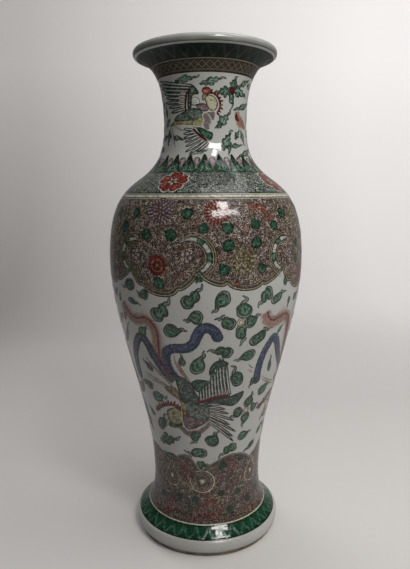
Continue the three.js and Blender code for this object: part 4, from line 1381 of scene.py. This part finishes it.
def beaded_flower(name, heart):
    """A round flower of dark petals with a ring of pale beads, about 9 mm in radius."""
    drawing = Drawing()
    disc(drawing, name, 8.4, 0.05, 0.02, tone=-0.2)
    ring_of_petals(drawing, name, 16, 5.8, 9.2, 2.0, 0.25, 0.07)
    ring_of_petals(drawing, "cream", 15, 4.3, 5.7, 1.0, 0.2, 0.09)
    ring_of_petals(drawing, name, 9, 2.2, 4.2, 1.5, 0.25, 0.09)
    disc(drawing, heart, 1.9, 0.1, tone=0.2, ink=0.3)
    return drawing


def dotted_flower(name, tone):
    """A loose round of dots, about 10 mm in radius."""
    drawing = Drawing()
    disc(drawing, name, 9.8, 0.03, 0.01, tone=-0.5)
    for count, radius in ((17, 9.6), (12, 6.9), (7, 4.2), (4, 1.9)):
        for k in range(count):
            spot = pointing((k + 0.3 * radius) * TURN / count)[0] * radius
            drawing.fill(name, spot + oval(1.1, 1.1, 6), base=0.07, thick=0.07, tone=tone, step=0.8)
    return drawing


def small_flower(petals, heart, tone=0.7):
    """Five round petals, about 4 mm in radius."""
    drawing = Drawing()
    ring_of_petals(drawing, petals, 5, 0.8, 4.2, 3.4, tone, 0.06, ink=0.5)
    disc(drawing, heart, 1.0, 0.12, tone=0.4)
    return drawing


def round_leaf(tone):
    """A rounded, slightly lobed leaf with a point, about 4.5 mm in radius."""
    drawing = Drawing()
    angle = np.linspace(0, TURN, 15)[:-1]
    reach = 4.3 + 0.2 * np.cos(7 * angle)
    reach[np.argmin(np.abs(angle - math.pi / 2))] = 5.8
    outline = np.stack([reach * np.cos(angle), reach * np.sin(angle)], 1)
    drawing.fill("green", outline, tone=tone, base=0.06)
    drawing.stroke("ink", outline, 0.5, top=0.15, closed=True, tone=0.5)
    drawing.stroke("ink", [(0, -3.2), (0.2, 0), (0, 4.4)], 0.5, top=0.2, tone=0.6)
    for side in (-1, 1):
        for y in (-1.6, 0.8):
            vein = [(side * 0.2, y), (side * 1.6, y + 1.0), (side * 2.8, y + 1.2)]
            drawing.stroke("green", vein, 0.6, top=0.19, tone=-0.4)
    return drawing


def five_petal_flower():
    """The shoulder's big flower: notched iron-red petals edged in white, about 15 mm in radius."""
    drawing = Drawing()
    disc(drawing, "pale", 5.0, 0.05, 0.02, tone=0.5)
    half = ((3.2, 1.2), (8, 6.1), (12.6, 6.9), (15.4, 3.6), (14.2, 0))
    petal = half + tuple((far, -aside) for far, aside in half[-2::-1])
    for k in range(5):
        way, side = pointing(math.radians(90 + 72 * k))
        outline = np.array([way * far + side * aside for far, aside in petal])
        drawing.fill("pale", outline, base=0.05, thick=0.03, tone=0.6)
        drawing.fill("red", outline * 0.88 + way * 0.5, base=0.08, thick=0.06, tone=0.1)
        for lean in (-0.28, -0.1, 0.1, 0.28):
            ray = way * math.cos(lean) + side * math.sin(lean)
            drawing.stroke("red", [ray * 6.5, ray * 9.5, ray * 12.5], 0.8, top=0.17, tone=-0.4)
    disc(drawing, "yellow", 2.6, 0.1, 0.06, tone=0.3, ink=0.5)
    disc(drawing, "green", 1.2, 0.16, 0.03, tone=0.3)
    return drawing


RED_ARC = [(248, 206), (254, 204.6), (260, 206), (265.6, 211), (270, 219)]
RED_ARC_MIDDLE = (260, 210)


def red_arc():
    """Two rows of red beads bent into an arc."""
    drawing = Drawing()
    arc = flat(RED_ARC, RED_ARC_MIDDLE)
    for reach in (0.0, -2.9):
        line = beside(arc, reach, step=2.1)
        drawing.stroke("red", line, 2.6, top=0.06, tone=0.2)
        for point in line:
            drawing.fill("red", point + oval(0.85, 0.85, 6), base=0.08, thick=0.06, tone=0.6, step=0.8)
    return drawing


def curl(name, width=0.55, radius=0.8, tone=0.5, top=0.09):
    """One small hooked brush mark."""
    drawing = Drawing()
    arc = ellipse_arc((0, 0), radius, radius, 0.2, 4.2, 5)
    path = np.vstack([arc, arc[-1] + (radius * 0.9, -radius * 0.5)])
    drawing.stroke(name, path, width, top=top, tone=tone, step=0.75, across=2, ends=(0.6, 1, 0.5))
    return drawing


def sprinkle(drawing, low, high, spacing, gap, spread=0.3, spots=()):
    """Lays a drawing all over a ground, each copy a little off its place and turned at random.

    spots holds the (turn, rise, reach) of reserves that are left bare, once in every quarter.
    """
    round_vase = np.linspace(0, TURN, 99)
    bottom, top = np.min(level_at(low, round_vase)), np.max(level_at(high, round_vase))
    places = []
    for rise in np.arange(bottom + spacing / 2, top, spacing):
        count = int(TURN * radius_at(rise) / spacing)
        turn = (np.arange(count) + rng.random()) * TURN / count
        places.append(np.stack([turn, np.full(count, rise)], 1))
    places = np.vstack(places)
    places[:, 1] += rng.uniform(-0.35, 0.35, len(places)) * spacing
    places[:, 0] += rng.uniform(-0.35, 0.35, len(places)) * spacing / radius_at(places[:, 1])
    above = places[:, 1] > level_at(low, places[:, 0]) + gap
    places = places[above & (places[:, 1] < level_at(high, places[:, 0]) - gap)]
    for turn, rise, reach in spots:
        swing = (places[:, 0] - turn + QUARTER / 2) % QUARTER - QUARTER / 2
        places = places[np.hypot(swing * radius_at(rise), places[:, 1] - rise) > reach]
    count = len(places)
    lay(drawing, places[:, 0], places[:, 1], rng.random(count) * TURN, rng.uniform(0.75, 1.25, count),
        shade=rng.uniform(-spread, spread, count), keep=False)


# The flowers of the two grounds that can be told apart, each with its pixel and its size
UPPER_FLOWERS = [("white_mum", (160.4, 211.2), 1.1), ("pink_mum", (217.6, 212.4), 1.05),
                 ("red_bead", (157.1, 265.5), 0.95), ("dotted", (243.6, 260.8), 1.1),
                 ("mauve", (185.8, 257.3), 1.2), ("mauve", (135.6, 253.7), 1.2),
                 ("mauve", (262.5, 255.5), 0.9), ("mauve", (288.4, 252.5), 1.0), ("pink", (246, 229), 0.7),
                 ("pink", (199, 222), 0.6), ("pink", (222, 257), 0.7), ("pink", (183, 275), 0.7),
                 ("mauve", (246, 240), 0.8), ("mauve", (147, 256), 0.7)]
UPPER_LEAVES = [(136.8, 212.4), (187, 213.6), (146.3, 234.2), (171, 235.4), (203.5, 228.9), (227.9, 227.8),
                (255.4, 224.2), (273.7, 225.4), (228.9, 245.5), (256.9, 242.5), (224.1, 270.2),
                (262.1, 268.5), (158.7, 283.2), (125.6, 226.6), (280.8, 212.4)]
LOWER_FLOWERS = [("red", (187.5, 471), 9), ("red", (213, 508), 11), ("red", (207, 500), 8),
                 ("red", (248.7, 500), 9), ("red", (231, 463), 7), ("red", (197.5, 515), 6),
                 ("aubergine", (171.3, 497.7), 11), ("aubergine", (182, 514), 9),
                 ("aubergine", (229, 475), 10), ("aubergine", (232, 508), 9), ("aubergine", (166, 467), 9),
                 ("aubergine", (202, 513), 7), ("green", (179.7, 496.7), 8), ("green", (194.3, 500), 8),
                 ("green", (191, 508), 7), ("green", (228, 510), 6), ("yellow", (190, 487), 8),
                 ("yellow", (216, 499), 8), ("yellow", (241, 470), 8)]
LOWER_LEAVES = [(221.5, 492.8), (237.4, 491), (195.7, 499), (222.4, 465.2), (240.5, 457.4), (180, 496)]
SCROLLS = [[(184.6, 240.6), (190.5, 239), (196.6, 240), (202.6, 243.4), (207.4, 249.4), (209.6, 256.1),
            (209.2, 262.4), (205.6, 268.4), (200.6, 272.4), (198.2, 275)],
           [(286.4, 236.6), (281, 238.4), (276.6, 242.6), (274.3, 249), (273.6, 256.1), (275.2, 262.6),
            (278.4, 266.6), (282.4, 270)]]
SCROLL_CUTS = (0, 0.22, 0.36, 0.54, 0.7, 0.92, 1)
SCROLL_LINES = ((3.2, 0.7, "cream", -0.1), (4.0, 0.6, "ink", 0.4), (5.0, 0.8, "cream", -0.2),
                (5.9, 0.6, "ink", 0.4), (-3.1, 0.7, "cream", -0.2), (-3.9, 0.6, "ink", 0.4))
CIRCLE_RESERVE, CIRCLE_SIZE = (202.4, 481.4), 11.0
DROP_OUTLINE = [(0.5, 16), (3.2, 8.5), (6.8, 2.5), (7.8, -3.5), (5, -8.4), (0, -10), (-5, -8.4),
                (-7.8, -3.5), (-6.4, 2.5), (-2.6, 8.5)]
DROP_DOT = (249.7, 469.5)


def motifs():
    return {"white_mum": chrysanthemum("aubergine", "aubergine", "aubergine", 0.8),
            "pink_mum": chrysanthemum("wash", "red", "yellow", 0.35),
            "red_mum": chrysanthemum("red", "red", "yellow", 0.3),
            "red_bead": beaded_flower("red", "yellow"),
            "dotted": dotted_flower("yellow", 0.4),
            "mauve": small_flower("aubergine", "yellow", 0.8),
            "pink": small_flower("wash", "yellow", 0.3),
            "red": small_flower("red", "yellow", 0.2)}


def striped_scroll(path):
    """A crescent in bars of cream and green between dark lines, with a thin cream line outside it."""
    drawing = Drawing()
    line = smooth(path, step=0.6)
    count = len(line)
    half = 1.7
    swell = np.interp(np.linspace(0, 1, count), (0, 0.2, 0.6, 1), (0.5, 1.05, 1.15, 0.7))[:, None]
    out = across_line(line)
    for k, (a, b) in enumerate(zip(SCROLL_CUTS, SCROLL_CUTS[1:])):
        a, b = round(a * (count - 1)), round(b * (count - 1))
        part = slice(a, b + 1)
        name, tone = (("pale", 0.4), ("green", 0.6))[k % 2]
        reach = out[part] * half * swell[part]
        edge = np.vstack([line[part] + reach, (line[part] - reach)[::-1]])
        drawing.fill(name, edge[::2], base=0.07, thick=0.07, tone=tone, smoothed=False)
        ends = line[b] + out[b] * np.array([-half, 0, half])[:, None] * swell[b]
        drawing.stroke("ink", ends, 0.5, top=0.18, tone=0.5)
    for side in (-half - 0.2, half + 0.2):
        drawing.stroke("ink", line + out * side * swell, 0.7, top=0.17, tone=0.5, ends=(0.8, 1, 0.8),
                       smoothed=False)
    first, middle, last = line[0], line[count // 2], line[-1]
    bulge = (last - first)[0] * (middle - first)[1] - (last - first)[1] * (middle - first)[0]
    outer = math.copysign(1.0, bulge)
    for distance, width, name, tone in SCROLL_LINES:
        drawing.stroke(name, line + out * outer * distance, width, top=0.15, tone=tone, smoothed=False)
    return drawing


def reserves():
    """The eye-shaped reserves in the lower ground, one round and one like a drop, four times each."""
    ring = oval(1, 1, 24)
    eye = Drawing()
    eye.fill("yellow", ring * CIRCLE_SIZE, base=0.02, thick=0.01, tone=-0.6)
    turns = np.linspace(math.radians(120), math.radians(-195), 26)
    for size, width, tone in ((CIRCLE_SIZE, 1.1, 0.6), (CIRCLE_SIZE - 2.0, 0.6, 0.1)):
        eye.stroke("cream", np.stack([np.cos(turns), np.sin(turns)], 1) * size, width, top=0.17, tone=tone,
                   ends=(0.5, 1, 0.5))
    eye.stroke("ink", ring * (CIRCLE_SIZE - 1.0), 0.6, top=0.14, closed=True)
    eye.stroke("ink", ring * 4.4, 0.7, top=0.14, closed=True)
    eye.fill("cream", ring * 2.5, base=0.1, thick=0.08, tone=0.4)
    lay_at(eye, CIRCLE_RESERVE, QUARTERS)
    drop = Drawing()
    outline = np.array(DROP_OUTLINE)
    drop.fill("yellow", outline, base=0.02, thick=0.01, tone=-0.7)
    drop.stroke("cream", outline, 0.9, top=0.17, tone=0.25, closed=True)
    drop.stroke("ink", outline * 0.84, 0.5, top=0.15, closed=True)
    drop.fill("cream", ring * (1.5, 2.4), base=0.1, thick=0.08, tone=0.6)
    lay_at(drop, DROP_DOT, QUARTERS)


def cluster(name, pixel, size, swing):
    """A flower of the lower ground: a loose patch of small curls."""
    turn, rise = seen(pixel)[0]
    count = int(size ** 2 * 0.6)
    reach, angle = size * np.sqrt(rng.random(count)), rng.random(count) * TURN
    lay(curl(name, 0.62, 0.85, 0.3, 0.13), turn + swing + reach * np.cos(angle) / radius_at(rise),
        np.maximum(rise + reach * np.sin(angle), rise_at(FOOT_CREAM) + 1.6), rng.random(count) * TURN,
        shade=rng.uniform(-0.3, 0.5, count), keep=False)


def scatter(drawings, low, high, gap, tries, size):
    """Flowers or leaves at random on a ground, wherever there is room for one."""
    for turn, share, pick in rng.random((tries, 3)):
        turn = turn * TURN - math.pi
        bottom, top = level_at(low, turn), level_at(high, turn)
        rise = bottom + gap * 0.75 + (top - bottom - gap * 1.5) * share
        if clear_of([turn], [rise], gap)[0]:
            drawing = drawings[int(pick * len(drawings))]
            lay(drawing, turn, rise, rng.random() * TURN, size * rng.uniform(0.85, 1.15))


def grounds():
    """The flowers, leaves, scrolls and reserves on the two millefleur grounds."""
    flowers = motifs()
    upper_leaf, lower_leaf = round_leaf(0.25), round_leaf(-0.1)
    upper_top, lower_foot = rise_at(MILLEFLEUR_TOP) - 1, rise_at(FOOT_CREAM) + 1
    for path in SCROLLS:
        lay_at(striped_scroll(flat(path, path[4])), path[4], QUARTERS)
    reserves()
    lay_at(red_arc(), RED_ARC_MIDDLE)
    for name, pixel, scale in UPPER_FLOWERS:
        lay_at(flowers[name], pixel, angle=rng.random() * TURN, size=scale)
    for places, leaf, size in ((UPPER_LEAVES, upper_leaf, 1.0), (LOWER_LEAVES, lower_leaf, 0.75)):
        for turn, rise in seen(places):
            lay(leaf, turn, rise, rng.random() * TURN, size * rng.uniform(0.9, 1.1))
    big = [flowers[name] for name in ("white_mum", "pink_mum", "red_bead", "dotted", "red_mum")]
    small = [flowers[name] for name in ("mauve", "pink", "red")]
    scatter(big, upper_edge, upper_top, 14, 400, 1)
    scatter([upper_leaf], upper_edge, upper_top, 9, 1200, 0.85)
    scatter(small, upper_edge, upper_top, 6.5, 900, 0.65)
    for name, pixel, size in LOWER_FLOWERS:
        for swing in QUARTERS:
            cluster(name, pixel, size, swing)
    scatter([lower_leaf], lower_foot, lower_edge, 13, 500, 0.75)
    ground_curls(upper_top, lower_foot)


def ground_curls(upper_top, lower_foot):
    """The small curls that fill the grounds, pale ones and dark ones."""
    spots = [(*seen(CIRCLE_RESERVE)[0], CIRCLE_SIZE), (*seen(DROP_DOT)[0], 8.0)]
    for name, width, radius, tone in (("upper_curl", 0.62, 1.0, 0.75), ("upper_dark_curl", 0.5, 0.85, 0.35)):
        mark = curl(name, width, radius, tone)
        sprinkle(mark, lambda turn: upper_edge(turn) + 4, upper_top, 2.6, 0.8, 0.6)
    for name, width, radius, tone in (("lower_curl", 0.55, 0.85, 0.5), ("lower_dark_curl", 0.5, 0.8, 0.35)):
        mark = curl(name, width, radius, tone)
        sprinkle(mark, lower_foot, lambda turn: lower_edge(turn) - 4, 2.5, 0.8, 0.7, spots)


# Shoulder

LAPPETS = 22
LAPPET_PIXEL = (204.6, 171.5)
SHOULDER_FLOWER = (173.1, 181)


def lappet(half, tall):
    """A pointed green leaf with a dark heart, a dark rib and pale folds."""
    leaf = Drawing()
    right = [(half * 0.36, tall * 0.68), (half * 0.7, tall * 0.32), (half, 0)]
    left = [(-x, y) for x, y in right[::-1]]
    leaf.outlined("green", [*left, (0, tall), *right, (0, -0.3)], 0.7, tone=0.3)
    heart = [(0, tall * 0.95), (-half * 0.24, tall * 0.62), (0, tall * 0.36), (half * 0.24, tall * 0.62)]
    leaf.fill("ink", heart, base=0.12, thick=0.04, tone=0.5)
    leaf.stroke("ink", [(0, 0.5), (0, tall * 0.3), (0, tall * 0.6)], 0.9, top=0.19)
    for side in (-1, 1):
        fold = [(side * 0.6, tall * 0.36), (side * half * 0.3, tall * 0.18), (side * half * 0.5, 0.6)]
        leaf.stroke("pale", fold, 0.6, top=0.17, tone=0.2)
        leaf.stroke("green", [(side * 0.5, tall * 0.2), (side * half * 0.2, 0.8)], 0.8, top=0.16, tone=0.9)
    return leaf


def bud(wide, tall):
    """A mauve bud with three dark lines, as it stands between two lappets."""
    drawing = Drawing()
    left = [(-wide * 0.45, tall * 0.3), (-wide, tall * 0.66), (-wide * 0.7, tall * 0.8)]
    right = [(-x, y) for x, y in left[::-1]]
    drawing.outlined("aubergine", [(0, 1.0), *left, (0, tall * 0.84), *right], 0.5, tone=0.65, base=0.03)
    for lean in (-0.5, 0, 0.5):
        line = [(0, tall * 0.2), (lean * wide * 0.8, tall * 0.5), (lean * wide, tall * 0.8)]
        drawing.stroke("ink", line, 0.5, top=0.15, tone=0.7)
    return drawing


def shoulder():
    """Green lappets at the foot of the neck, then the seeded band with its big flowers."""
    foot, tip = rise_at(LAPPET_FOOT), rise_at(LAPPET_TIP)
    start = seen(LAPPET_PIXEL)[0][0]
    step = TURN / LAPPETS
    lay(lappet(step / 2 * radius_at(foot) * 0.98, tip - foot), start + np.arange(LAPPETS) * step, foot)
    wide = step / 2 * radius_at((foot + tip) / 2) * 0.4
    lay(bud(wide, tip - foot), start + (np.arange(LAPPETS) + 0.5) * step, foot)
    turn, rise = seen(SHOULDER_FLOWER)[0]
    lay(five_petal_flower(), turn + np.radians([0, 87, 174, 263]), rise - 0.5, [0, 0.4, 1.1, 0.7], 0.9)
    for name in ("pale_seed", "dark_seed"):
        sprinkle(curl(name, 0.75, 1.0), rise_at(SHOULDER_FOOT) + 0.5, foot, 3.0, 1.0)


# Foot and mouth

def zigzags():
    """Paler zigzags on the two dark green bands."""
    # The mouth's zigzags get a lower tone than the foot's: painted shade under the lip
    rows = ((rise_at(BEAD_TOP) + 1.2, rise_at(FOOT_CREAM) - 1.4, 34, 0.65, 0.5),
            (rise_at(MOUTH_CREAM) + 1.2, rise_at(MOUTH_GREEN_TOP) - 1.0, 28, 0.0, 0.4))
    for low, high, count, tone, width in rows:
        middle, tall = (low + high) / 2, high - low
        wide = TURN / count * radius_at(middle)
        tooth = Drawing()
        for inset in (0.0, 1.3, 2.6):
            foot, tip = wide / 2 - inset * 0.6, (0, tall / 2 - inset * 1.5)
            up, down = np.linspace((-foot, -tall / 2), tip, 9), np.linspace(tip, (foot, -tall / 2), 9)
            tooth.stroke("green", np.vstack([up, down[1:]]), width, top=0.13, tone=tone, ends=(1, 1, 1),
                         smoothed=False)
        lay(tooth, np.arange(count) * TURN / count, middle, keep=False)


def lattice():
    """The crossed lines and dark lozenges of the brown band, over a thin wave."""
    low, high = rise_at(MOUTH_BROWN_FOOT) + 2.2, rise_at(MOUTH_CREAM) - 1
    middle, tall = (low + high) / 2, high - low
    count = 44
    wide = TURN / count * radius_at(middle)
    crossing, wave = Drawing(), Drawing()
    for side in (-1, 1):
        line = [(-wide / 2, side * tall * 0.42), (-wide / 4, side * tall * 0.18), (0, 0),
                (wide / 4, -side * tall * 0.2), (wide / 2, -side * tall * 0.42)]
        crossing.stroke("cream", line, 0.4, top=0.14, tone=-0.95, ends=(1, 1, 1))
    for y in (-0.36, 0.36):
        lozenge = np.array([(0, -1.2), (1.1, 0), (0, 1.2), (-1.1, 0)]) + (0, y * tall)
        crossing.fill("ink", lozenge, base=0.08, thick=0.05)
    lay(crossing, np.arange(count) * TURN / count, middle, keep=False)
    line = [(-wide / 2, -0.4), (-wide / 4, 0.7), (0, -0.4), (wide / 4, 0.7), (wide / 2, -0.4)]
    wave.stroke("cream", line, 0.4, top=0.14, tone=-0.95, ends=(1, 1, 1))
    lay(wave, np.arange(count) * TURN / count, low - 0.6, keep=False)


# Camera, floor and light

# The room as the vase has it, and as the camera sees it
ROOM_LIGHT, ROOM_SEEN = 0.05, 0.6
VASE_MIDDLE = (0, 0, 0.25)

# Every lamp: its place, width, height, watts and tint, whether it is mirrored, and its spread
LAMPS = (("window", (0.292, -0.632, 0.808), 0.44, 0.12, 2.4, (1, 0.98, 0.96)),
         ("skylight", (0.24, -0.52, 0.935), 0.13, 0.18, 1.3, (1, 0.98, 0.96)),
         ("right_softbox", (1.35, -0.3, 0.9), 2.2, 2.0, 10.5, (1, 0.97, 0.94), False),
         ("high_softbox", (0.3, 0.1, 1.7), 1.2, 1.0, 6.5, (1, 1, 1)),
         ("back_softbox", (-0.7, 0.95, 1.0), 0.9, 0.9, 1.2, (1, 1, 1), False, 1.3))


def place_camera():
    data = bpy.data.cameras.new("photo_camera")
    data.sensor_width = 36.0
    data.lens = FOCAL_PIXELS * data.sensor_width / FRAME_HEIGHT
    data.clip_start, data.clip_end = 0.01, 20.0
    camera = bpy.data.objects.new("photo_camera", data)
    place = Vector((CAMERA_ASIDE, -CAMERA_AWAY, CAMERA_HIGH)) * MM
    camera.matrix_world = Matrix.Translation(place) @ CAMERA_TURN.to_4x4()
    bpy.context.scene.collection.objects.link(camera)
    bpy.context.scene.camera = camera


def area_light(name, place, width, height, watts, tint, mirrored=True, spread=math.pi):
    """A lamp that faces the vase. The glaze mirrors it only where mirrored says so."""
    data = bpy.data.lights.new(name, "AREA")
    data.shape = "RECTANGLE"
    data.size, data.size_y = width, height
    data.energy = watts
    data.color = tint
    data.spread = spread
    light = bpy.data.objects.new(name, data)
    light.visible_glossy = mirrored
    light.location = place
    light.rotation_mode = "QUATERNION"
    light.rotation_quaternion = (Vector(place) - Vector(VASE_MIDDLE)).to_track_quat("Z", "Y")
    bpy.context.scene.collection.objects.link(light)


def paper_material():
    """Pale paper with painted light that the camera alone sees: a paler colour, and a glow that grows up the
    wall and to the right.
    """
    material, tree, shader = new_material("pale_paper_painted_light")
    seen_by_camera = node(tree, "LightPath").outputs["Is Camera Ray"]
    tree.links.new(mixed(tree, seen_by_camera, colour(0.56, 0.54, 0.53), colour(0.67, 0.645, 0.625)),
                   shader.inputs["Base Color"])
    shader.inputs["Roughness"].default_value = 0.8
    place = node(tree, "NewGeometry").outputs["Position"]
    x, y, z = node(tree, "SeparateXYZ", {"Vector": place}).outputs
    # Painted light: an emission that grows to the right, towards the back and up the wall
    to_right, to_back = ranged(tree, x, -0.5, 0.5, 0.0, 0.37), ranged(tree, y, 0.3, 0.9, 0.3, 1.0)
    aside = maths(tree, "MULTIPLY", to_right, to_back)
    paler = maths(tree, "ADD", aside, ranged(tree, z, 0.05, 0.7, 0.0, 0.22))
    shader.inputs["Emission Color"].default_value = colour(1.0, 0.97, 0.96)
    tree.links.new(maths(tree, "MULTIPLY", paler, seen_by_camera), shader.inputs["Emission Strength"])
    return material


def sweep():
    """A floor that curves up into a backdrop."""
    near, back, bend, top, half = -3.0, 1.2, 0.5, 2.6, 3.0
    curve = [(back - bend + bend * math.sin(a), bend - bend * math.cos(a))
             for a in np.linspace(0, math.pi / 2, 17)]
    profile = [(near, 0.0), *curve, (back, top)]
    points = [(x, y, z) for x in (-half, half) for y, z in profile]
    count = len(profile)
    faces = [(k, k + count, k + 1 + count, k + 1) for k in range(count - 1)]
    mesh = bpy.data.meshes.new("sweep")
    mesh.from_pydata(points, [], faces)
    mesh.polygons.foreach_set("use_smooth", [True] * len(faces))
    mesh.materials.append(paper_material())
    paper = bpy.data.objects.new("sweep", mesh)
    bpy.context.scene.collection.objects.link(paper)


def studio():
    sweep()
    world = bpy.data.worlds.new("soft_room")
    world.use_nodes = True
    tree = world.node_tree
    background = tree.nodes["Background"]
    background.inputs["Color"].default_value = colour(0.86, 0.88, 0.9)
    seen_by_camera = node(tree, "LightPath").outputs["Is Camera Ray"]
    tree.links.new(ranged(tree, seen_by_camera, 0, 1, ROOM_LIGHT, ROOM_SEEN), background.inputs["Strength"])
    bpy.context.scene.world = world
    for lamp in LAMPS:
        area_light(*lamp)
    bpy.context.scene.view_settings.view_transform = "Standard"


# The whole vase

SEAMS = {"foot_slip": FOOT_SEAM, "belly_slip": BELLY_SEAM, "shoulder_slip": SHOULDER_SEAM,
         "neck_slip": NECK_SEAM, "mouth_slip": MOUTH_SEAM}
FRONT, FRONT_AND_BACK = (0,), (0, math.pi)

# Every painted piece: its enamel in the drawings, its material and its slot
PAINTED_PIECES = (
    ("green_painting", "green", green_enamel, "green_enamel"),
    ("iron_red_painting", "red", red_enamel, "red_enamel"),
    ("iron_red_washes", "wash", red_wash, "red_enamel"),
    ("grey_green_painting", "grey", grey_enamel, "green_enamel"),
    ("neck_cloud_painting", "neck", neck_green, "green_enamel"),
    ("mauve_shading", "shade", mauve_shade, "aubergine_enamel"),
    ("yellow_painting", "yellow", yellow_enamel, "yellow_enamel"),
    ("aubergine_painting", "aubergine", aubergine_enamel, "aubergine_enamel"),
    ("blue_painting", "blue", blue_enamel, "blue_enamel"),
    ("chalk_white_painting", "pale", pale_enamel, "glazed_porcelain"),
    ("cream_painting", "cream", cream_enamel, "yellow_enamel"),
    ("dark_outlines", "ink", outline_ink, "dark_outline"),
    ("upper_millefleur_curls", "upper_curl", curl_enamel, "yellow_enamel"),
    ("lower_millefleur_curls", "lower_curl", curl_enamel, "yellow_enamel"),
    ("upper_millefleur_dark_curls", "upper_dark_curl", outline_ink, "dark_outline"),
    ("lower_millefleur_dark_curls", "lower_dark_curl", outline_ink, "dark_outline"),
    ("shoulder_pale_scrolls", "pale_seed", pale_enamel, "glazed_porcelain"),
    ("shoulder_dark_scrolls", "dark_seed", outline_ink, "dark_outline"))


def porcelain():
    foot_piece()
    floor_pieces()
    section("lower_body", FOOT_SEAM, BELLY_SEAM)
    section("upper_body", BELLY_SEAM, SHOULDER_SEAM)
    section("shoulder", SHOULDER_SEAM, NECK_SEAM)
    section("neck", NECK_SEAM, MOUTH_SEAM)
    mouth_piece()
    for name, seam in SEAMS.items():
        slip_ring(name, seam)


def painting():
    """Lays every motif, the big ones first, because the scattered ones take what room is left."""
    bands()
    shoulder()
    lay_at(phoenix_body(), PHOENIX_MIDDLE, PHOENIX_TURNS)
    lay_at(phoenix_tails(), PHOENIX_MIDDLE, PHOENIX_TURNS[[0, 2, 3]])
    lay_at(right_side(), RIGHT_MIDDLE)
    lay_at(neck_phoenix(), NECK_MIDDLE_PIXEL, FRONT_AND_BACK)
    field = cloud_drawings("green", 0.45, 0.65)
    pale = cloud_drawings("neck", 0.55, 0.7)
    hearts(FIELD_HEARTS, FRONT)
    hearts(NECK_HEARTS, FRONT_AND_BACK)
    clouds(field, FIELD_CLOUDS, FRONT)
    clouds(pale, NECK_CLOUDS, FRONT_AND_BACK)
    clouds(field, FIELD_CLOUDS, (math.pi,), gap=6.5)
    stray_clouds(field, ("pear", "double", "triple", "slender"), lower_edge, upper_edge, 7.5, 1500)
    stray_clouds(pale, ("lobed",), rise_at(LAPPET_TIP) - 1, rise_at(MOUTH_BROWN_FOOT) + 1, 5.0, 600)
    grounds()
    zigzags()
    lattice()
    for piece in PAINTED_PIECES:
        painted(*piece)


place_camera()
studio()
porcelain()
painting()
